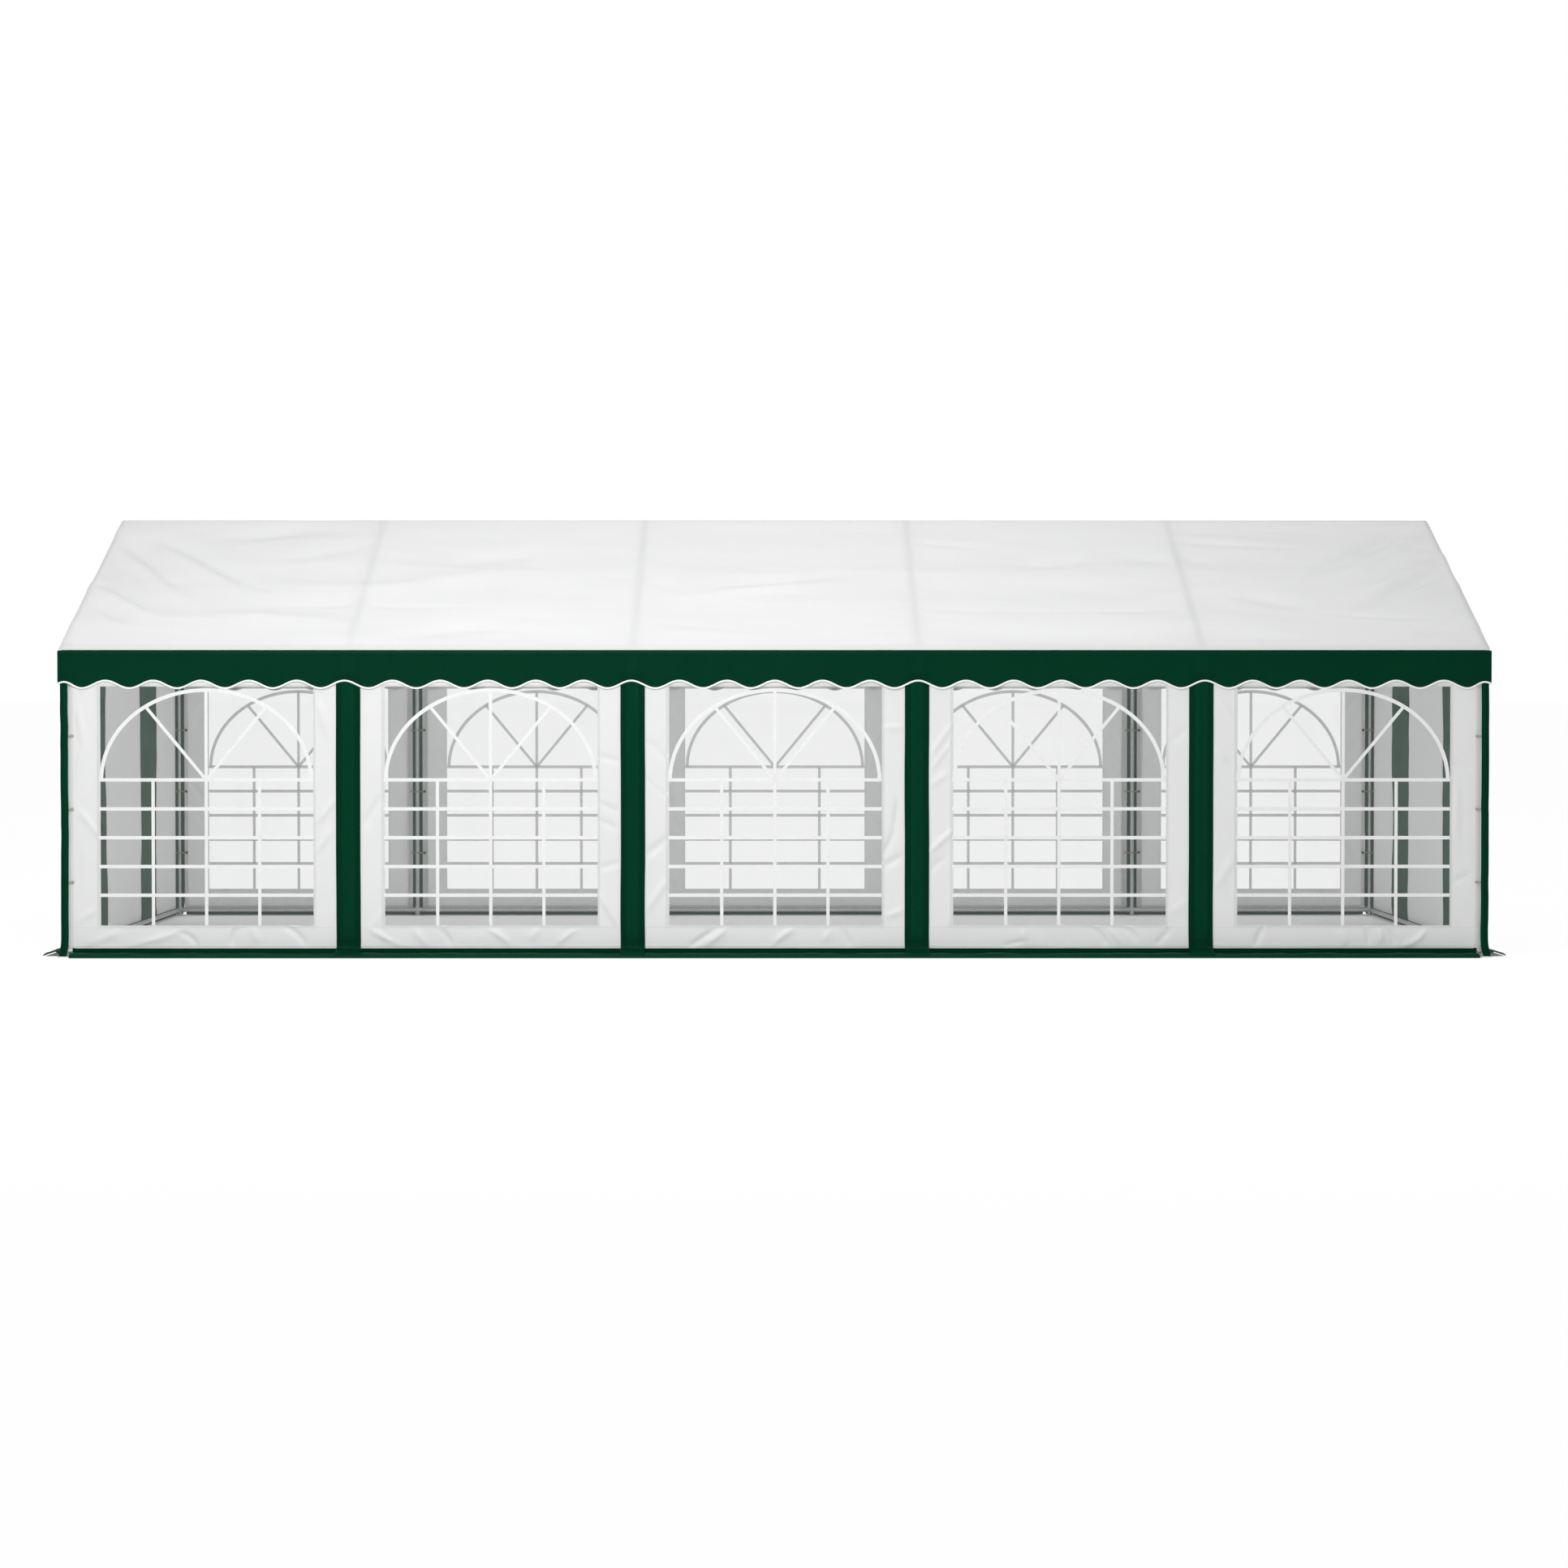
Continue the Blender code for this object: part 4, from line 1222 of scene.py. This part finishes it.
# %% [markdown]
# ## Strips round the corner posts
#
# A corner strip turns the corner with a short leg on the long wall and a longer one on the gable. It
# is pulled out of line by wind and ties, so its outline wavers, and its foot kicks out over the
# skirts.

# %% Corner strips
CORNER_LEG = {"front": 0.030, "back": 0.043}
CORNER_SIDE = 0.081
CORNER_ROUND = 0.012
CORNER_FOOT = 0.008
CORNER_KICK = 0.015
corner_x = HALF_LENGTH + GABLE_STRIPE
corner_y = HALF_WIDTH + STRIP
side_leg = corner_y - (HALF_WIDTH - CORNER_SIDE) - CORNER_ROUND
corner_arc = CORNER_ROUND * math.pi / 2


def corner_outline(run, front_leg):
    """x and y of the angled strip's section, starting on the long wall."""
    turned = np.clip((run - front_leg) / CORNER_ROUND, 0, math.pi / 2)
    past = np.maximum(0, run - front_leg - corner_arc)
    x = corner_x - CORNER_ROUND - front_leg + np.minimum(run, front_leg) + CORNER_ROUND * np.sin(turned)
    y = corner_y - CORNER_ROUND * (1 - np.cos(turned)) - past
    return x, y, turned


corner_down = np.concatenate([np.linspace(STRIP_TOP, 0.16, 110), np.linspace(0.15, CORNER_FOOT, 16)])
for end, end_sign in ENDS.items():
    for side, side_sign in SIDES.items():
        seed = 130 + 3 * end_sign + side_sign
        front_leg = corner_x - (HALF_LENGTH - CORNER_LEG[side]) - CORNER_ROUND
        corner_across = np.unique(np.concatenate([
            np.linspace(0, front_leg, 7), front_leg + corner_arc * np.linspace(0, 1, 6),
            np.linspace(front_leg + corner_arc, front_leg + corner_arc + side_leg, 11),
        ]))

        def corner_place(run, z):
            x, y, turned = corner_outline(run, front_leg)
            sway = 0.0055 * swell(z, 0 * run, 0.34, 1.0, seed) + 0.0016 * swell(z, run, 0.11, 0.2, seed + 1)
            sway = sway * fade(STRIP_TOP - z, 0.2)
            kick = CORNER_KICK * np.clip((0.13 - z) / 0.12, 0, 1) ** 2
            on_gable = turned / (math.pi / 2)
            ripple = 0.0016 * swell(run, z, 0.05, 0.7, seed + 2)
            x = x + sway + kick + ripple * on_gable
            y = y + kick * 0.8 + abs(ripple) * (1 - on_gable)
            return end_sign * x, side_sign * y, z

        part = sheet_part(corner_across, corner_down, corner_place, turn=end_sign * side_sign < 0)
        corner = piece(f"corner_strip_{end}_{side}", [part], GREEN, [f"trim_{end}"])
print("4 corner strips,", round(front_leg + corner_arc + side_leg, 3), "m wide")

# %% [markdown]
# ## The gable walls
#
# Each end wall is white with two wide green stripes, and between them hangs a door that zips open at
# both sides and rolls up. White parts, stripes and door are separate sheets that meet in welds, so
# they share one function for the wall's slack. At a low angle that slack makes the stripes look wavy.

# %% Gable slack
DOOR_HALF = 0.75
DOOR_TOP = 2.0
STRIPE_EDGE = 1.5
GABLE_HALF = HALF_WIDTH - 0.041
OVERLAP = 0.012
GABLE_SPACING = 0.024
GABLE_FOOT_HEM = 0.024
DOOR_FOOT_HEM = 0.030
DOOR_LIFT = 0.0004
STRIPE_LIFT = 0.0016
TOP_LEVEL = DOOR_TOP + 1.0


def on_gable(sign, y, z, lift=0.0):
    """A point on an end wall, with its slack, or on what lies over it."""
    held = fade(GABLE_HALF - abs(y), 0.12) * fade(z - PANEL_BOTTOM + 0.01, 0.10)
    push = 0.0075 * swell(y, z, 0.55, 0.62, 71 + sign) + 0.0030 * swell(y + z, z, 0.21, 0.30, 75 + sign)
    return sign * (HALF_LENGTH + WALL + held * push + lift), y, z


def gable_z(y, level):
    """Levels below the door's top are heights, and the rest are shares of what is left to the roof."""
    top = roof_height(y) - 0.012
    share = level - DOOR_TOP
    return np.where(level <= DOOR_TOP, level, DOOR_TOP + share * (top - DOOR_TOP))


gable_edges = (DOOR_HALF, DOOR_HALF - OVERLAP, STRIPE_EDGE, STRIPE_EDGE + OVERLAP, GABLE_HALF - PANEL_HEM)
gable_across = spread(-GABLE_HALF, GABLE_HALF, GABLE_SPACING, [s * e for s in (-1, 1) for e in gable_edges])
gable_down = np.concatenate([
    spread(PANEL_BOTTOM, DOOR_TOP, 0.026, [PANEL_BOTTOM + GABLE_FOOT_HEM]),
    np.linspace(DOOR_TOP + 0.03, TOP_LEVEL, 30),
])


def white_part(y, level):
    """Where the white sheet is left, beside and above the door and the stripes."""
    door = (abs(y) < DOOR_HALF) & (level < DOOR_TOP)
    stripe = (abs(y) > DOOR_HALF) & (abs(y) < STRIPE_EDGE)
    return ~door & ~stripe


for end, sign in ENDS.items():
    def gable_place(y, level):
        z = gable_z(y, level)
        hem = np.maximum(rise(abs(y), GABLE_HALF - PANEL_HEM), 1 - rise(z, PANEL_BOTTOM + GABLE_FOOT_HEM))
        return on_gable(sign, y, z, HEM_STEP * hem)

    part = sheet_part(gable_across, gable_down, gable_place, keep=white_part, turn=sign < 0)
    gable = piece(f"gable_sheet_{end}", [part], WHITE, [f"gable_wall_{end}"])
    lowest = float(roof_height(GABLE_HALF)) - PANEL_BOTTOM
    stripe_middle = (DOOR_HALF + STRIPE_EDGE) / 2
    stripes = 2 * (STRIPE_EDGE - DOOR_HALF) * (float(roof_height(stripe_middle)) - PANEL_BOTTOM)
    door = 2 * DOOR_HALF * (DOOR_TOP - PANEL_BOTTOM)
    f"rafter_pair_{1 if sign < 0 else 6}"
    print(gable.name, len(gable.data.polygons), "faces")

# %% [markdown]
# The stripes overlap the white sheet by a narrow weld and run down behind the skirt.

# %% Gable stripes and doors
STRIPE_FOOT = 0.030
stripe_down = np.concatenate([
    np.linspace(STRIPE_FOOT, DOOR_TOP, 74), np.linspace(DOOR_TOP + 0.03, TOP_LEVEL, 26),
])
for end, sign in ENDS.items():
    for side, side_sign in SIDES.items():
        def stripe_place(y, level):
            return on_gable(sign, y, gable_z(y, level), STRIPE_LIFT)

        reach = sorted(side_sign * y for y in (DOOR_HALF + 0.002, STRIPE_EDGE + OVERLAP))
        part = sheet_part(spread(*reach, GABLE_SPACING), stripe_down, stripe_place, turn=sign < 0)
        stripe = piece(f"gable_stripe_{end}_{side}", [part], GREEN, [f"trim_{end}"])
        tall = float(roof_height(DOOR_HALF)) - 0.04
        low = float(roof_height(STRIPE_EDGE)) - 0.04
        width = STRIPE_EDGE + OVERLAP - DOOR_HALF
        width * (tall + low) / 2

    def door_place(y, z):
        hem = HEM_STEP * (1 - rise(z, PANEL_BOTTOM + DOOR_FOOT_HEM))
        return on_gable(sign, y, z, DOOR_LIFT + hem)

    half = DOOR_HALF - 0.002
    door_down = spread(PANEL_BOTTOM, DOOR_TOP - 0.001, 0.026, [PANEL_BOTTOM + DOOR_FOOT_HEM])
    part = sheet_part(spread(-half, half, GABLE_SPACING), door_down, door_place, turn=sign < 0)
    door = piece(f"door_sheet_{end}", [part], WHITE, [f"gable_door_{end}"])
print("4 gable stripes, 2 doors")

# %% [markdown]
# ## Zips
#
# A zip runs up each side of a door, and a welt covers the seam along the door's top. The zip is a
# flat tape with a raised coil down its middle and one slider near the foot, with its pull tab.

# %% Zips on the doors
ZIP_TAPE = [(-0.017, 0.0022), (-0.017, 0.0030), (-0.004, 0.0032), (-0.0032, 0.0052), (0.0, 0.0060),
            (0.0032, 0.0052), (0.004, 0.0032), (0.017, 0.0030), (0.017, 0.0022)]
WELT = [(-0.014, 0.0020), (-0.012, 0.0032), (0.012, 0.0032), (0.014, 0.0020)]
SLIDER = [(-0.008, 0.0050), (-0.007, 0.0095), (0.007, 0.0095), (0.008, 0.0050)]
TAB = [(-0.0035, 0.0096), (-0.0035, 0.0112), (0.0035, 0.0112), (0.0035, 0.0096)]
for end, sign in ENDS.items():
    place = partial(on_gable, sign)
    tapes, sliders = [], []
    for y in (-DOOR_HALF, DOOR_HALF):
        line = run_between((y, PANEL_BOTTOM + 0.004), (y, DOOR_TOP + 0.01))
        tapes.append(sweep_part(line, ZIP_TAPE, place))
        sliders.append(sweep_part(run_between((y, 0.118), (y, 0.142), 0.006), SLIDER, place))
        sliders.append(sweep_part(run_between((y, 0.080), (y, 0.120), 0.008), TAB, place))
    tapes.append(sweep_part(run_between((-DOOR_HALF, DOOR_TOP), (DOOR_HALF, DOOR_TOP)), WELT, place))
    piece(f"door_zip_{end}", tapes, ZIP, solid=True)
    piece(f"zip_slider_{end}", sliders, NICKEL, solid=True)
print("zips on 2 doors")

# %% [markdown]
# ## Eyelets and elastic ties
#
# Each panel edge has three nickel eyelets. An elastic loop goes through the eyelets of two
# neighbouring panels and round the post between them on the room side, and a ball at one eyelet
# keeps it from slipping back. At the front corners the loop passes round the post outside, and
# runs out from under the corner strip into its eyelet.

# %% Eyelets
EYELET_HEIGHTS = [0.526, 1.040, 1.555]
EYELET_ASIDE = 0.0585
EYELET_RADIUS = 0.0085
EYELET_LIFT = 0.0004


def lathe_part(profile, centre, axis):
    """Turn a profile of radius and height about an axis, which is 0 for x or 1 for y."""
    count = 16
    turns = np.linspace(0, 2 * math.pi, count, endpoint=False)
    radius, height = np.asarray(profile, float).T
    points = np.zeros((count, len(profile), 3))
    points[..., axis] = height[None, :]
    points[..., (axis + 1) % 3] = np.cos(turns)[:, None] * radius
    points[..., (axis + 2) % 3] = np.sin(turns)[:, None] * radius
    corner = np.arange(count * len(profile)).reshape(count, -1)
    onwards = np.roll(corner, -1, axis=0)
    faces = np.stack([corner, np.roll(corner, -1, 1), np.roll(onwards, -1, 1), onwards], -1).reshape(-1, 4)
    points = points.reshape(-1, 3) + np.asarray(centre)
    return points, faces.tolist(), np.zeros_like(points)


eyelet_profile = [
    (EYELET_RADIUS + 0.0035 * math.cos(t), 0.0019 * math.sin(t))
    for t in np.linspace(0, 2 * math.pi, 8, endpoint=False)
]
for side, sign in SIDES.items():
    face = sign * (HALF_WIDTH + WALL + EYELET_LIFT)
    rings = [
        lathe_part(eyelet_profile, (post + turn * EYELET_ASIDE, face, z), 1)
        for post in POST_X for turn in (-1, 1) for z in EYELET_HEIGHTS
        if abs(post + turn * EYELET_ASIDE) < HALF_LENGTH
    ]
    piece(f"eyelets_{side}", rings, NICKEL, solid=True)
    print(len(rings), "eyelets on the", side, "wall")
for end, sign in ENDS.items():
    face = sign * (HALF_LENGTH + WALL + EYELET_LIFT)
    rings = [
        lathe_part(eyelet_profile, (face, turn * (HALF_WIDTH - EYELET_ASIDE), z), 0)
        for turn in (-1, 1) for z in EYELET_HEIGHTS
    ]
    piece(f"eyelets_{end}", rings, NICKEL, solid=True)

# %% Elastic ties
CORD = 0.0022
POST_CLEAR = 0.0195
BALL = 0.0105
BALL_BACK = 0.0085
STRAND_GAP = 0.0030
ball_turns = np.linspace(0.5, math.pi - 0.32, 10)
ball_profile = [(BALL * math.sin(t), BALL * math.cos(t)) for t in ball_turns]
ball_profile = [(0.0, BALL * 0.70), (0.0035, BALL * 0.74)] + ball_profile + [(0.0, -BALL * 0.95)]


def tie_path(corner, outside):
    """The loop's line in plan, from one eyelet round the post to the other."""
    if outside:
        over = WALL + 0.0032
        knots = [(-over, -EYELET_ASIDE), (-over, 0.008), (-0.012, over), (0.035, over), (EYELET_ASIDE, over)]
    elif corner:
        bends = [(-0.006, -0.026), (0.014, -0.019), (0.023, -0.005)]
        knots = [(-WALL, -EYELET_ASIDE), *bends, (EYELET_ASIDE, WALL)]
    else:
        beside, past = -POST_CLEAR * 0.45, -POST_CLEAR
        bends = [(-0.019, beside), (-0.008, past), (0.008, past), (0.021, beside)]
        knots = [(-EYELET_ASIDE, WALL), *bends, (EYELET_ASIDE, WALL)]
    run = np.concatenate([[0], np.cumsum([math.dist(a, b) for a, b in zip(knots, knots[1:])])])
    fine = np.linspace(0, run[-1], 25)
    path = np.stack([np.interp(fine, run, [k[i] for k in knots]) for i in (0, 1)], axis=-1)
    path[1:-1] = (path[:-2] + 2 * path[1:-1] + path[2:]) / 4
    return path


for side, sign in SIDES.items():
    cords, balls = [], []
    for number, post in enumerate(POST_X):
        corner = number in (0, len(POST_X) - 1)
        outside = corner and side == "front"
        inwards = -1 if number == len(POST_X) - 1 else 1
        for z in EYELET_HEIGHTS:
            for strand in (-STRAND_GAP, STRAND_GAP):
                def tie_place(x, y, lift):
                    return post + inwards * x, sign * (HALF_WIDTH + y), z + strand + lift

                cords.append(sweep_part(tie_path(corner, outside), ring_of(8, CORD, CORD), tie_place))
            if not outside:
                centre = (post + inwards * EYELET_ASIDE, sign * (HALF_WIDTH + WALL - BALL_BACK), z)
                balls.append(lathe_part([(r, -sign * h) for r, h in ball_profile], centre, 1))
    piece(f"elastic_ties_{side}", cords, ELASTIC, solid=True)
    piece(f"tie_balls_{side}", balls, KNOB, solid=True)
    print(len(cords) // 2, "loops and", len(balls), "balls on the", side, "wall")
